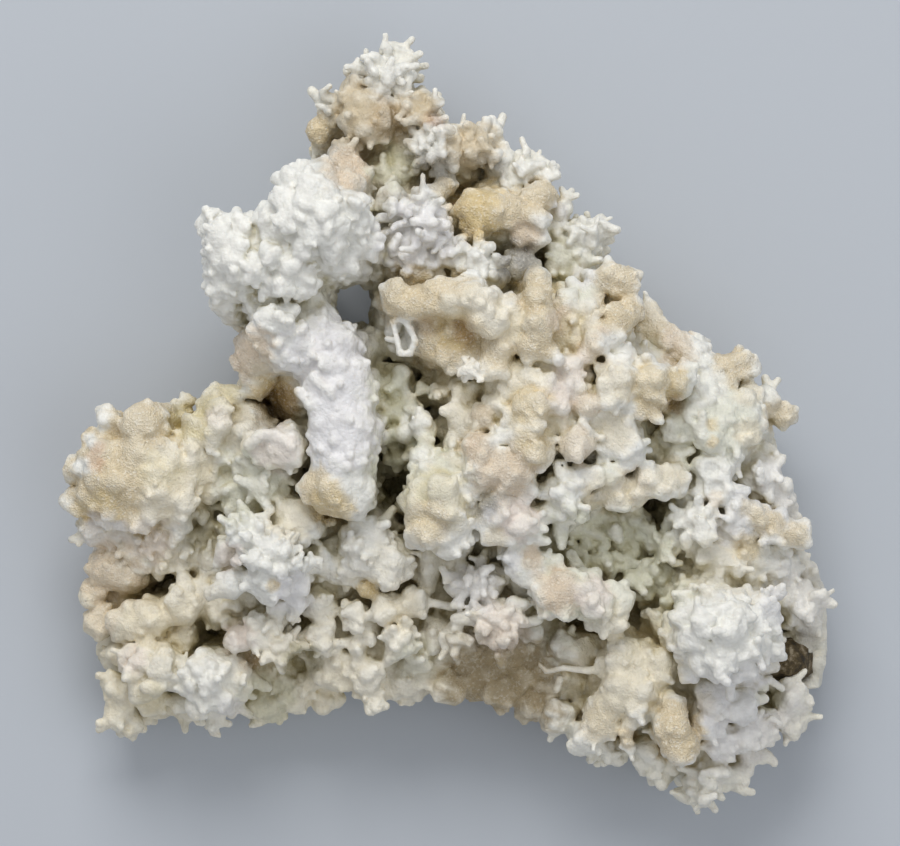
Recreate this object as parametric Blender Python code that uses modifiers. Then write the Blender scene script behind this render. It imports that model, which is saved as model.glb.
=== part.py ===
"""A cluster of coral-like cave calcite, about 31 cm across, lying on its broken back.

The growths are listed region by region as points with a radius, in millimetres, seen from above: +X to the right,
+Y to the top of the cluster and +Z up from the surface it lies on. One point is a knob, and several are a limb.
"""

import math
import random

import bmesh
import bpy
from mathutils import Matrix, Vector

MM = 0.001

# Driving dimensions, in millimetres
VOXEL = 2.3
CALCITE_TRIANGLES = 9250
STEM_SHARE = 0.8
STEM_FROM_RADIUS = 4.5
STEM_DEPTH = 34.0
FINGER_RADIUS = 1.9
HOLE_CENTRE = (-36.0, 49.0)
HOLE_RADIUS = 7.2
ROCK_GAP = 0.3

# The crust behind the growths: centre and half sizes of each lump
CRUST = [
    (-116, -88, 16, 25, 26, 22),
    (-112, -30, 34, 30, 22, 22),
    (-80, -56, 26, 28, 30, 30),
    (-82, -12, 38, 22, 18, 24),
    (-64, -90, 20, 30, 21, 24),
    (-42, -46, 28, 28, 34, 32),
    (-20, -86, 38, 36, 26, 15),
    (18, -86, 38, 34, 26, 15),
    (-12, -34, 14, 30, 36, 22),
    (-8, 4, 16, 28, 32, 24),
    (-54, 22, 40, 20, 24, 38),
    (-60, 62, 38, 17, 18, 40),
    (-4, 72, 34, 24, 26, 32),
    (0, 40, 52, 24, 18, 28),
    (42, 16, 52, 46, 44, 32),
    (26, 84, 34, 22, 22, 32),
    (-22, 98, 36, 18, 16, 22),
    (52, 55, 30, 18, 17, 28),
    (-20, 50, 38, 13, 18, 32),
    (-30, 33, 40, 14, 9, 28),
    (72, -8, 40, 22, 18, 32),
    (-14, 114, 32, 20, 22, 24),
    (-26, 132, 28, 15, 13, 17),
    (80, 20, 40, 26, 24, 34),
    (26, -40, 34, 24, 24, 36),
    (106, -3, 36, 28, 27, 32),
    (70, -52, 16, 34, 34, 22),
    (112, -46, 32, 28, 30, 30),
    (112, -84, 34, 26, 28, 36),
    (80, -104, 30, 26, 22, 28),
    (104, -126, 24, 26, 18, 24),
    (44, -98, 32, 20, 18, 18),
    (0, -64, 36, 20, 14, 18),
    (-48, -88, 30, 16, 18, 20),
]

# Hollows in the crust: the arch under the lower edge, and the pits between the branches
HOLLOWS = [
    (0, -98, 0, 46, 46, 25),
    (10, 20, 0, 60, 60, 14),
    (84, -50, 0, 26, 34, 9),
    (-118, -66, 62, 12, 4.5, 20),
    (-95, -42, 60, 8, 8, 22),
    (-93, -84, 52, 6.5, 5, 18),
    (-57, -94, 52, 6, 6, 16),
    (-22, -16, 66, 8, 16, 24),
    (64, -50, 62, 22, 12, 22),
    (86, -68, 60, 9, 9, 18),
    (-67, 10, 84, 7, 7, 10),
    (80, 1, 88, 4, 5, 22),
    (47, -15, 92, 4.5, 5, 24),
    (131, -109, 54, 5, 4, 14),
]

# Growths by region
LEFT_TAN_LOBE = [
    [(-131, -20, 57, 16), (-112, -20, 57, 16), (-96, -11, 54, 13)],
    [(-120, -8, 63, 10), (-120, 1, 66, 6.5), (-119, 7, 67, 4.5)],
    [(-137, -12, 60, 7.5)],
    [(-139, -28, 54, 10)],
    [(-147, -29, 52, 5), (-152, -29, 52, 3)],
    [(-141, -38, 48, 5.5)],
    [(-126, -32, 57, 9)],
    [(-114, -30, 60, 7.5)],
    [(-106, -33, 58, 5.5)],
    [(-97, -25, 58, 5)],
    [(-104, -9, 60, 6), (-98, -3, 62, 6.5), (-90, 8, 62, 5.5), (-85, 13, 62, 5)],
    [(-90, 5, 69, 5), (-92, -4, 68, 5)],
    [(-80, -3, 60, 11)],
    [(-133, 2, 61, 5)],
    [(-140, -5, 60, 3.8)],
    [(-144, -17, 57, 3.6)],
]
LEFT_MIDDLE = [
    [(-140, -43, 44, 5.5)],
    [(-132, -44, 44, 6)],
    [(-125, -44, 46, 6)],
    [(-134, -49, 38, 4.5)],
    [(-118, -46, 44, 8), (-108, -45, 46, 8)],
    [(-124, -50, 46, 5), (-120.5, -57, 47, 2.8)],
    [(-113, -52, 46, 4.5), (-115, -56, 45, 3)],
    [(-104, -50, 46, 6)],
    [(-107, -53, 46, 3.5), (-105, -59, 45, 2.5)],
    [(-100, -50, 46, 4), (-98.5, -54, 45, 2.6)],
    [(-101, -40, 48, 4), (-95, -37, 48, 2.2)],
    [(-80, -28, 56, 10)],
    [(-70, -20, 64, 11)],
    [(-88, -22, 54, 8)],
    [(-66, -28, 60, 8)],
]
LOWER_LEFT = [
    [(-135, -57, 40, 8.5), (-126, -60, 38, 8)],
    [(-140, -66, 36, 6.5)],
    [(-129, -69, 30, 7)],
    [(-138, -78, 34, 7)],
    [(-127, -80, 42, 8.5), (-117, -77, 46, 9)],
    [(-105, -72, 48, 8.5)],
    [(-103, -66, 50, 4), (-103, -62, 50, 2)],
    [(-96, -66, 48, 4), (-96, -61, 48, 2.2)],
    [(-91, -73, 44, 6.5)],
    [(-105, -84, 40, 7.5)],
    [(-131, -92, 34, 5), (-137, -92, 33, 3)],
    [(-124, -93, 40, 6.5)],
    [(-114, -96, 46, 9.5)],
    [(-130, -106, 34, 7)],
    [(-117, -108, 38, 8)],
    [(-130, -114, 30, 8), (-127, -121, 28, 5)],
    [(-104, -103, 50, 6)],
    [(-96, -99, 52, 9)],
    [(-87, -97, 50, 7.5)],
    [(-86, -105, 48, 7)],
    [(-106, -111, 42, 4.5)],
    [(-99, -111, 44, 5.5)],
    [(-92, -110, 46, 5.5), (-92, -122.5, 42, 3.3)],
    [(-84, -109, 38, 5), (-85, -116, 36, 3)],
    [(-80, -101, 46, 5.5), (-73, -103, 44, 3.4)],
    [(-115, -113, 24, 7)],
    [(-104, -114, 24, 6)],
    [(-72, -111, 28, 8)],
    [(-73, -116, 24, 4)],
    [(-66, -114, 24, 4), (-66, -118, 22, 2.2)],
    [(-61, -105, 32, 9)],
    [(-53, -101, 38, 4.5)],
    [(-48, -107.5, 30, 7)],
]
WHITE_STAR = [
    [(-75, -46, 76, 9), (-66, -48, 76, 9)],
    [(-70, -59, 76, 9)],
    [(-61, -62, 72, 7)],
    [(-84, -63, 72, 6), (-93, -66, 70, 4)],
    [(-85, -50, 64, 6.5)],
    [(-79, -40, 74, 4), (-79, -34, 74, 2.4)],
    [(-58, -55, 76, 3.5), (-49, -53, 75, 2.2)],
    [(-59, -70, 66, 5), (-60, -79, 62, 2.4)],
    [(-66, -72, 62, 4), (-67, -81, 60, 3)],
    [(-58, -38, 66, 11)],
    [(-82, -84, 56, 6.5)],
    [(-72, -83, 60, 7.5)],
    [(-64, -88, 58, 6)],
    [(-50, -84, 56, 6), (-57, -84, 56, 4)],
    [(-50, -72, 54, 7.5)],
    [(-48, -54, 58, 7)],
]
POPCORN_HEAD = [
    [(-60, 79, 98, 15), (-48, 86, 102, 15.5)],
    [(-50, 95, 102, 11)],
    [(-82, 74, 92, 12)],
    [(-84, 60, 88, 11.5)],
    [(-62, 64, 94, 14)],
    [(-44, 70, 96, 11)],
    [(-35, 78, 93, 9)],
    [(-90, 80, 90, 6.5)],
    [(-89, 66, 86, 6)],
    [(-87, 51, 84, 7)],
    [(-70, 48, 86, 9), (-62, 34, 90, 11)],
]
ARM = [
    [(-54, 42, 82, 13), (-46, 30, 84, 14), (-41, 14, 84, 14), (-39, -2, 85, 14), (-41, -24, 83, 13)],
    [(-73, 31, 70, 11.5)],
    [(-74, 20, 66, 8)],
    [(-52, -24, 84, 6.5)],
    [(-62, -8, 80, 9)],
    [(-76, -8, 78, 4), (-68, -13, 79, 4)],
]
SPIRE = [
    [(-24, 138, 50, 8.5), (-17, 147, 50, 5.5)],
    [(-30, 125, 54, 12)],
    [(-13, 127, 52, 9)],
    [(-42, 126, 46, 7), (-50, 119, 46, 5.5)],
    [(-37, 135, 48, 6)],
    [(-48, 131, 46, 3.5)],
    [(-40, 109, 60, 7), (-34, 97, 64, 6)],
    [(-4, 113, 58, 9)],
    [(9, 111, 56, 9)],
    [(19, 117, 52, 5.5)],
    [(23, 104, 52, 7)],
    [(33, 102, 50, 7)],
    [(0, 96, 62, 3.6)],
    [(46, 86, 50, 5)],
    [(58, 76, 50, 8)],
]
UPPER_MIDDLE = [
    [(14, 86, 70, 10), (26, 86, 68, 8)],
    [(38, 92, 62, 7)],
    [(37, 84, 68, 5)],
    [(12, 79, 70, 6)],
    [(31, 77, 66, 5)],
    [(37, 76, 64, 4.5)],
    [(-15, 72, 74, 10), (-6, 82, 74, 9)],
    [(-10, 62, 74, 8)],
    [(-20, 90, 68, 6)],
    [(-6, 92, 68, 5)],
    [(12, 66, 72, 7), (20, 60, 72, 6)],
    [(30, 64, 60, 9)],
    [(50, 66, 52, 8)],
]
TAN_RIDGE = [
    [(-18, 50, 92, 6.5), (-10, 50, 94, 6.5), (-2, 51, 96, 7), (12, 50, 98, 7.5), (15, 46, 98, 7.5), (25, 40, 94, 7)],
    [(3, 48, 99, 4.5)],
    [(-2, 34, 80, 10), (8, 30, 82, 9)],
    [(22, 32, 92, 6.5), (21, 26, 92, 6)],
    [(37, 58, 92, 5), (37, 50, 96, 5.5), (38, 42, 98, 7), (36, 33, 96, 8)],
    [(47, 45, 86, 4.5), (47, 37, 84, 4)],
    [(28, 20, 90, 5.5), (35, 19, 92, 6)],
    [(30, 13, 92, 4)],
    [(35, 8, 96, 8), (33, 0, 96, 6), (34, -8, 94, 8), (34, -14, 90, 6.5)],
    [(45, 12, 92, 8.5)],
    [(50, 21, 90, 7.5)],
    [(56, 9, 92, 5), (57, 6, 92, 4)],
    [(53, -7, 90, 7)],
    [(68, 3, 84, 8), (70, -5, 82, 8)],
    [(67, 13, 92, 6.5), (69, 20, 92, 6.5)],
    [(77, 20, 86, 6.5), (82, 18, 88, 7), (92, 18, 82, 7)],
    [(82, 13, 88, 6), (82, 7, 87, 5)],
    [(70, 57, 82, 7), (66, 60, 82, 6)],
    [(75, 47, 84, 5), (69, 42, 88, 5.5), (62, 35, 90, 6), (56, 28, 90, 5)],
    [(60, 57, 80, 4), (56, 47, 82, 4.5), (52, 39, 82, 5), (50, 32, 82, 5)],
    [(68, 30, 84, 5.5)],
    [(16, 4, 90, 5)],
    [(14, -8, 94, 6.5)],
    [(16, -17, 94, 7), (27, -17, 92, 8), (33, -23, 88, 6)],
    [(23, -4, 92, 4)],
    [(7, 4, 80, 6), (12, 2, 82, 7)],
    [(-2, 44, 80, 10), (12, 40, 80, 12), (28, 40, 80, 11), (42, 36, 80, 11)],
    [(44, 22, 80, 13), (28, 14, 80, 12), (38, 0, 80, 13), (26, -10, 82, 10)],
    [(54, 8, 80, 12), (66, 10, 78, 11), (80, 14, 75, 10)],
    [(66, -3, 74, 10)],
    [(64, 36, 76, 9), (55, 44, 74, 9)],
    [(70, 48, 72, 8)],
]
HANGING_LOBES = [
    [(2, -18, 82, 8.5), (-1, -28, 84, 11.5), (-2, -37, 82, 13)],
    [(5, -7, 76, 6)],
    [(-14, 5, 66, 4.5), (-12, -2, 68, 5)],
    [(-13, 9, 70, 2.2), (-8, 4, 76, 2.4), (-6, -2, 78, 2.6), (-7, -10, 80, 2.8), (-9, -17, 80, 2.6)],
    [(24, -34, 84, 10), (33, -38, 82, 8)],
    [(33, -47, 78, 4), (36, -55, 76, 4.5), (42, -62, 77, 6), (46, -66, 78, 9)],
    [(46, -66, 76, 8), (58, -67, 74, 8), (66, -73, 68, 6), (67, -80, 62, 5)],
    [(46, -27, 82, 7)],
    [(46, -34, 78, 4), (47.5, -43, 76, 2.3)],
]
LOWER_MIDDLE = [
    [(-31, -47, 66, 11), (-22, -55, 64, 10)],
    [(-38, -56, 60, 7.5)],
    [(-30, -65, 60, 5)],
    [(-22, -73, 60, 6.5), (-12, -71, 60, 6.5)],
    [(-35, -75, 56, 5)],
    [(-19, -15, 56, 6)],
    [(-30, -80, 52, 7)],
    [(-17, -84, 58, 6)],
    [(-19, -86, 58, 4), (-22, -94, 54, 2.3)],
    [(-15, -86, 58, 4), (-13, -93, 54, 2.3)],
    [(-42, -92, 48, 6.5), (-45, -100, 46, 6)],
    [(-40, -98, 46, 4), (-39, -104, 46, 3)],
    [(-34, -86, 54, 4), (-34, -95, 52, 2.8)],
    [(-31, -99, 50, 7), (-28, -109, 46, 5)],
    [(-11, -92, 48, 7)],
    [(-16, -102, 46, 7)],
    [(2, -104.5, 46, 7)],
    [(-3, -82, 50, 8)],
    [(4, -84, 60, 5.5), (6, -95, 56, 2.4)],
    [(8, -86, 60, 4), (13, -91, 57, 2.2)],
    [(20, -75, 68, 7.5), (24, -82, 66, 8)],
    [(36, -82, 58, 5.5)],
    [(8, -62, 64, 7.5), (18, -62, 66, 8)],
    [(30, -62, 62, 5)],
    [(-4, -52, 60, 4), (-6, -60, 56, 5)],
    [(9, -48, 64, 3.5), (4, -56, 60, 3)],
    [(26, -50, 70, 3.4), (27, -58, 68, 3)],
    [(37, -110, 38, 8.5)],
    [(24, -105, 44, 9)],
    [(48, -88, 48, 7), (56, -90, 48, 7)],
]
TAN_BARS = [
    [(60, -27, 74, 5.5), (68, -25, 76, 6.5), (80, -23, 76, 6.5), (92, -20, 72, 6)],
    [(82, 42, 60, 5.5)],
    [(88, 36, 64, 5.5), (96, 30, 62, 4.5), (103, 26, 60, 4.5)],
    [(108, 25, 60, 5.5), (121, 25, 56, 5.5)],
    [(118, -32, 68, 4), (130, -38, 64, 4), (142, -44, 58, 3.6)],
    [(55, -18, 86, 2.6), (63, -19, 85, 2.8), (74, -16, 84, 2.6)],
]
RIGHT_FLANK = [
    [(98, 4, 66, 12), (118, 3, 62, 12)],
    [(104, 14, 66, 7)],
    [(112, 16, 62, 6)],
    [(122, 14, 56, 5.5), (129, 9, 52, 6)],
    [(136, 5, 48, 6)],
    [(107, -4, 72, 7.5)],
    [(125, -4, 66, 3.4)],
    [(114, -6, 70, 4), (117, -12, 66, 2.5)],
    [(93, -13, 66, 5.5)],
    [(107, -17, 68, 7), (109, -24, 67, 7.5)],
    [(100, -28, 62, 7)],
    [(94, -26, 70, 3)],
    [(97, -36, 70, 3.4)],
    [(101, -38, 64, 8)],
    [(97, -42, 66, 3.4), (98, -47, 64, 2.2)],
    [(88, -47, 58, 7)],
    [(127, -19, 54, 8.5)],
    [(130, -13, 48, 6)],
    [(134, -28, 48, 8), (140, -37, 44, 4.5)],
    [(116, -40, 62, 7.5)],
    [(124, -38, 62, 2.8), (123, -43, 62, 2.6)],
    [(106, -50, 62, 8)],
    [(113, -53, 60, 8)],
    [(122, -50, 56, 8)],
    [(132, -52, 50, 8)],
    [(108, -60, 58, 8)],
    [(122, -60, 52, 8)],
    [(136, -60, 44, 8)],
    [(142, -51, 40, 3.5)],
    [(145, -58, 38, 4)],
    [(143, -69, 42, 8)],
    [(146.5, -78, 38, 6.5)],
    [(146, -84, 30, 7)],
]
LOWER_RIGHT = [
    [(102, -73, 78, 9), (113, -74, 78, 11)],
    [(100, -86, 76, 9), (112, -88, 78, 10)],
    [(98, -68, 80, 3.6)],
    [(103, -92, 82, 3.8)],
    [(98, -97, 70, 4)],
    [(112, -97, 72, 5)],
    [(125, -72, 66, 7.5)],
    [(130, -75, 64, 6)],
    [(133, -67, 60, 3.4)],
    [(132, -82, 58, 4)],
    [(125, -86, 66, 5), (133, -91, 60, 4)],
    [(120, -98, 56, 7)],
    [(126, -104, 52, 5.5)],
    [(108, -107, 62, 8)],
    [(118, -112, 58, 8)],
    [(105, -118, 58, 8)],
    [(112, -126, 52, 8)],
    [(121, -122, 50, 8)],
    [(129, -119, 44, 7)],
    [(140, -110, 40, 7.5)],
    [(141, -118, 36, 6)],
    [(123, -131, 40, 6.5)],
    [(92, -112, 66, 6), (91, -119, 67, 7.5), (95, -126.5, 65, 8.8)],
    [(72, -104, 60, 9), (63, -118, 54, 7), (57, -126, 50, 6.5)],
    [(47, -117, 44, 7)],
    [(80, -104, 60, 8)],
    [(79, -112, 60, 6), (76, -117, 58, 4.5)],
    [(73, -122, 56, 3.2), (74, -128, 54, 2)],
    [(58, -128, 36, 4)],
    [(70, -130, 38, 5.5)],
    [(82, -129, 42, 6), (82, -137, 36, 3.2)],
    [(89, -139, 36, 4.5)],
    [(104, -144.5, 40, 8)],
    [(109, -139, 42, 7.5)],
    [(117, -140, 38, 4.5)],
    [(74, -94, 56, 11), (86, -96, 58, 9)],
]
REGIONS = [
    LEFT_TAN_LOBE, LEFT_MIDDLE, LOWER_LEFT, WHITE_STAR, POPCORN_HEAD, ARM, SPIRE, UPPER_MIDDLE, TAN_RIDGE,
    HANGING_LOBES, LOWER_MIDDLE, TAN_BARS, RIGHT_FLANK, LOWER_RIGHT,
]

# Tufts: centre, radius, fingers and how far they reach past the ball
TUFTS = [
    (-75, -46, 80, 8, 12, 7),
    (-66, -52, 80, 8, 11, 7),
    (-64, -88, 60, 6, 9, 7),
    (-110, -47, 48, 7, 8, 7),
    (-96, -101, 56, 7, 9, 5),
    (-24, 140, 54, 7, 11, 8),
    (-38, 130, 50, 6, 8, 8),
    (-9, 126, 54, 6, 8, 6),
    (-4, 112, 62, 7, 10, 7),
    (12, 112, 58, 6, 9, 7),
    (33, 102, 52, 5, 8, 6),
    (58, 77, 54, 5, 8, 6),
    (-10, 80, 80, 9, 12, 8),
    (14, 65, 76, 6, 9, 8),
    (22, -79, 70, 8, 13, 7),
    (13, -62, 68, 7, 8, 6),
    (48, -28, 84, 6, 9, 7),
    (-17, -84, 60, 5, 8, 5),
    (5, -85, 60, 5, 7, 5),
    (101, -38, 70, 6, 9, 5),
    (88, -48, 60, 6, 9, 7),
    (108, -80, 84, 11, 12, 5),
    (102, 33, 56, 3, 7, 5),
    (64, -128, 38, 5, 9, 6),
    (86, -136, 38, 5, 9, 5),
    (106, -143, 42, 7, 9, 4),
    (146, -72, 42, 5, 7, 4),
    (134, -32, 50, 5, 7, 4),
    (-35, -75, 58, 3, 6, 4),
]

# Clumps of round lumps like popcorn: centre, radius of the clump, lumps and their radius
POPCORN = [
    (-50, 84, 103, 16, 20, 5.5),
    (-83, 71, 93, 10, 12, 5.0),
    (-64, 64, 98, 12, 10, 5.0),
    (-36, 76, 97, 9, 7, 4.5),
    (-66, 40, 94, 9, 8, 4.5),
    (110, -86, 80, 14, 14, 5.0),
    (-116, -98, 46, 11, 10, 4.5),
    (-96, -104, 50, 10, 10, 4.5),
]

# The rock that the calcite grew on, which shows at the right edge
ROCK_CENTRE = (137, -94, 20)
ROCK_HALF_SIZES = (15.5, 12, 27)
ROCK_ROUGHNESS = 1.6


def add_material(obj, colour, roughness):
    """Gives the object one plain material."""
    material = bpy.data.materials.new(obj.name)
    material.use_nodes = True
    shader = material.node_tree.nodes["Principled BSDF"]
    shader.inputs["Base Color"].default_value = (*colour, 1)
    shader.inputs["Roughness"].default_value = roughness
    shader.inputs["Metallic"].default_value = 0
    obj.data.materials.clear()
    obj.data.materials.append(material)


def add_object(name, form, collection):
    """Turns a bmesh into an object in the collection."""
    mesh = bpy.data.meshes.new(name)
    form.to_mesh(mesh)
    form.free()
    obj = bpy.data.objects.new(name, mesh)
    collection.objects.link(obj)
    return obj


def add_ball(form, centre, half_sizes, subdivisions=3):
    """Adds a ball, or an ellipsoid if the half sizes differ. All sizes are in millimetres."""
    matrix = Matrix.Translation(Vector(centre) * MM) @ Matrix.Diagonal((*(Vector(half_sizes) * MM), 1))
    bmesh.ops.create_icosphere(form, subdivisions=subdivisions, radius=1, matrix=matrix)


def add_limb(form, points):
    """Adds a limb of round knuckles, with a cone between each and the next."""
    for x, y, z, radius in points:
        add_ball(form, (x, y, z), (radius,) * 3, 2)
    for start, end in zip(points, points[1:]):
        run = Vector(end[:3]) - Vector(start[:3])
        middle = (Vector(start[:3]) + Vector(end[:3])) / 2
        matrix = Matrix.Translation(middle * MM) @ run.to_track_quat("Z", "Y").to_matrix().to_4x4()
        bmesh.ops.create_cone(
            form, cap_ends=True, segments=14, radius1=start[3] * MM, radius2=end[3] * MM,
            depth=run.length * MM, matrix=matrix,
        )


def stem_of(x, y, z, radius):
    """The limb that carries a growth down to the crust, leaning in towards the middle of the cluster."""
    foot = Vector((x, y, 0)) * (1 - 0.12 * min(1.0, z / 60))
    return [(x, y, z, radius * STEM_SHARE), (foot.x, foot.y, max(10.0, z - STEM_DEPTH), radius * 1.05)]


def add_tuft(form, centre, radius, fingers, reach, seed):
    """Adds blunt fingers that spread from a ball over its upper side, evenly with a little disorder."""
    draw = random.Random(seed)
    golden_turn = math.pi * (3 - math.sqrt(5))
    for i in range(fingers):
        height = 1 - 1.05 * (i + 0.5) / fingers
        turn = golden_turn * i + draw.uniform(-0.25, 0.25)
        ring = math.sqrt(1 - height * height)
        way = Vector((ring * math.cos(turn), ring * math.sin(turn), height))
        root = Vector(centre) + way * radius * 0.5
        tip = Vector(centre) + way * (radius + reach * draw.uniform(0.6, 1.0))
        add_limb(form, [(*root, FINGER_RADIUS * 1.5), (*tip, FINGER_RADIUS)])


def add_popcorn(form, centre, radius, lumps, lump_radius, seed):
    """Adds round lumps all over the upper side of a clump."""
    draw = random.Random(seed)
    golden_turn = math.pi * (3 - math.sqrt(5))
    for i in range(lumps):
        height = 1 - 1.1 * (i + 0.5) / lumps
        turn = golden_turn * i
        ring = math.sqrt(1 - height * height)
        way = Vector((ring * math.cos(turn), ring * math.sin(turn), height))
        size = lump_radius * draw.uniform(0.8, 1.15)
        add_limb(form, [(*centre, size), (*(Vector(centre) + way * radius), size)])


def remeshed(obj):
    """The object's mesh fused into one skin, with only its largest closed piece kept."""
    fuse = obj.modifiers.new("fuse", "REMESH")
    fuse.mode = "VOXEL"
    fuse.voxel_size = VOXEL * MM
    soften = obj.modifiers.new("soften", "SMOOTH")
    soften.factor = 0.5
    soften.iterations = 2
    graph = bpy.context.evaluated_depsgraph_get()
    mesh = bpy.data.meshes.new_from_object(obj.evaluated_get(graph))
    obj.modifiers.clear()
    skin = bmesh.new()
    skin.from_mesh(mesh)
    skin.verts.ensure_lookup_table()
    pieces = []
    seen = set()
    for first in skin.verts:
        if first in seen:
            continue
        piece = [first]
        seen.add(first)
        for vertex in piece:
            for edge in vertex.link_edges:
                other = edge.other_vert(vertex)
                if other not in seen:
                    seen.add(other)
                    piece.append(other)
        pieces.append(piece)
    pieces.sort(key=len)
    bmesh.ops.delete(skin, geom=[v for piece in pieces[:-1] for v in piece], context="VERTS")
    skin.to_mesh(mesh)
    skin.free()
    return mesh


def cut(obj, cutter):
    """Takes the cutter's shape out of the object, and hides the cutter."""
    cutter.hide_render = True
    cutter.display_type = "WIRE"
    taken = obj.modifiers.new(cutter.name, "BOOLEAN")
    taken.operation = "DIFFERENCE"
    taken.solver = "EXACT"
    taken.object = cutter


def applied(obj):
    """Gives the object the mesh that its modifiers make."""
    bpy.context.view_layer.update()
    graph = bpy.context.evaluated_depsgraph_get()
    mesh = bpy.data.meshes.new_from_object(obj.evaluated_get(graph))
    obj.modifiers.clear()
    obj.data = mesh


def make_ground(cutters):
    """Everything below the surface that the cluster lies on."""
    form = bmesh.new()
    depth = 60
    size = Matrix.Diagonal((500 * MM, 500 * MM, depth * MM, 1))
    bmesh.ops.create_cube(form, size=1, matrix=Matrix.Translation((0, 0, -depth * MM / 2)) @ size)
    return add_object("ground", form, cutters)


def make_hollows(cutters):
    """The arch and the pits between the branches, as one cutter."""
    form = bmesh.new()
    for x, y, z, rx, ry, rz in HOLLOWS:
        add_ball(form, (x, y, z), (rx, ry, rz))
    return add_object("hollows", form, cutters)


def make_through_hole(cutters):
    """The round hole beside the upper left branch, which runs right through the crust."""
    form = bmesh.new()
    bmesh.ops.create_cone(
        form, cap_ends=True, segments=24, radius1=HOLE_RADIUS * 1.3 * MM, radius2=HOLE_RADIUS * MM,
        depth=240 * MM, matrix=Matrix.Translation((HOLE_CENTRE[0] * MM, HOLE_CENTRE[1] * MM, 0)),
    )
    return add_object("through_hole", form, cutters)


def make_rock(collection, grow=0.0):
    """The lump of rock, rough and faceted. A grown one cuts its seat in the calcite."""
    draw = random.Random(7)
    form = bmesh.new()
    add_ball(form, (0, 0, 0), ROCK_HALF_SIZES, 2)
    for vertex in form.verts:
        outward = vertex.co.normalized()
        vertex.co += outward * (draw.uniform(-1, 1) * ROCK_ROUGHNESS + grow) * MM
    bmesh.ops.translate(form, verts=form.verts, vec=Vector(ROCK_CENTRE) * MM)
    return add_object("rock_seat" if grow else "host_rock", form, collection)


def make_calcite(collection, cutters):
    """The whole growth: crust, growths, stems and tufts, fused, hollowed and cut flat where it lies."""
    form = bmesh.new()
    for x, y, z, rx, ry, rz in CRUST:
        add_ball(form, (x, y, z), (rx, ry, rz))
    for region in REGIONS:
        for points in region:
            add_limb(form, points)
            for point in points:
                if point[3] >= STEM_FROM_RADIUS:
                    add_limb(form, stem_of(*point))
    for seed, (x, y, z, radius, fingers, reach) in enumerate(TUFTS):
        add_tuft(form, (x, y, z), radius, fingers, reach, seed)
    for seed, (x, y, z, radius, lumps, lump_radius) in enumerate(POPCORN):
        add_popcorn(form, (x, y, z), radius, lumps, lump_radius, seed)
    calcite = add_object("calcite", form, collection)
    calcite.data = remeshed(calcite)
    cut(calcite, make_hollows(cutters))
    cut(calcite, make_through_hole(cutters))
    applied(calcite)
    calcite.data = remeshed(calcite)
    fewer = calcite.modifiers.new("fewer", "DECIMATE")
    fewer.ratio = CALCITE_TRIANGLES / (2 * len(calcite.data.polygons))
    return calcite


def main():
    for obj in list(bpy.data.objects):
        bpy.data.objects.remove(obj, do_unlink=True)
    collection = bpy.data.collections.new("calcite_cluster")
    cutters = bpy.data.collections.new("cutters")
    for made in (collection, cutters):
        bpy.context.scene.collection.children.link(made)
    calcite = make_calcite(collection, cutters)
    rock = make_rock(collection)
    ground = make_ground(cutters)
    cut(calcite, make_rock(cutters, ROCK_GAP))
    cut(calcite, ground)
    cut(rock, ground)
    add_material(calcite, (0.80, 0.77, 0.70), 0.55)
    add_material(rock, (0.06, 0.05, 0.035), 0.85)


main()
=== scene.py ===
"""The looks of the calcite cluster: its fine knobs, fingers and grain, its tints, and the studio round it.

Each region of the cluster is a closed skin, grown from the same points and radii as the solid model.
Growths are in millimetres, seen from above: +X to the right, +Y to the top and +Z up from the floor.
"""

import math

import bpy
import numpy as np
import openvdb
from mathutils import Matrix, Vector


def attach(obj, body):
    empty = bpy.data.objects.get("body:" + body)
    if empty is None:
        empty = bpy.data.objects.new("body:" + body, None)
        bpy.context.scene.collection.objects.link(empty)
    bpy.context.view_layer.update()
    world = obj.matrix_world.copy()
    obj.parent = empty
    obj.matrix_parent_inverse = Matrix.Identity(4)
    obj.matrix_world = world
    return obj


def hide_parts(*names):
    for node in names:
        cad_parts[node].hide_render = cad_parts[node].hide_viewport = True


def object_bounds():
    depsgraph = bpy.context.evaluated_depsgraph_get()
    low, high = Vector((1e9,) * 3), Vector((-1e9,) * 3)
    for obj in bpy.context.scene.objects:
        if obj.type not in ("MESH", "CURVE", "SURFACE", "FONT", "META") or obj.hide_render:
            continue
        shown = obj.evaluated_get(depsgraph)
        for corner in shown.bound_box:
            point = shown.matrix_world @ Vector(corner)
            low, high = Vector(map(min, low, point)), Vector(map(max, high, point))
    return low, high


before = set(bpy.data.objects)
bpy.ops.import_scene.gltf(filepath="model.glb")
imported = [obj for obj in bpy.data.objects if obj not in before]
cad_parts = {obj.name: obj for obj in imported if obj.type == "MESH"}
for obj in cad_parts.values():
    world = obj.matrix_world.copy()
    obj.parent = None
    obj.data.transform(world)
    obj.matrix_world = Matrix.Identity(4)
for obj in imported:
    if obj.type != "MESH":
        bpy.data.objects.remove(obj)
cad_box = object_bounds()

MM = 0.001

# The grid that growths are joined on: its step, its value far from them, and how far skins are simplified
STEP = 0.8
FAR = 5.0
ADAPTIVITY = 0.3

# How a skin closes inside its neighbours: its depth, the width that overlaps them gently, and both slopes
DEPTH = 6.0
OVERLAP = 1.0
OVERLAP_SLOPE = 0.1
CLOSING_SLOPE = 3.0

# A part of a skin that comes no nearer than this to a growth is loose, and is left out
ROOT_GAP = 1.5

# Fillets between growths, between regions and under fine growths
BLEND = 2.2
JOINT = 2.0
FINE_BLEND = 0.7

# How much large growths shrink to make room for their cover
SHRINK = -1.2

# Stems: their share of the growth's radius, the least radius that has one, and how far down they reach
STEM_SHARE = 0.8
STEM_FROM_RADIUS = 4.5
STEM_DEPTH = 34.0

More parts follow.
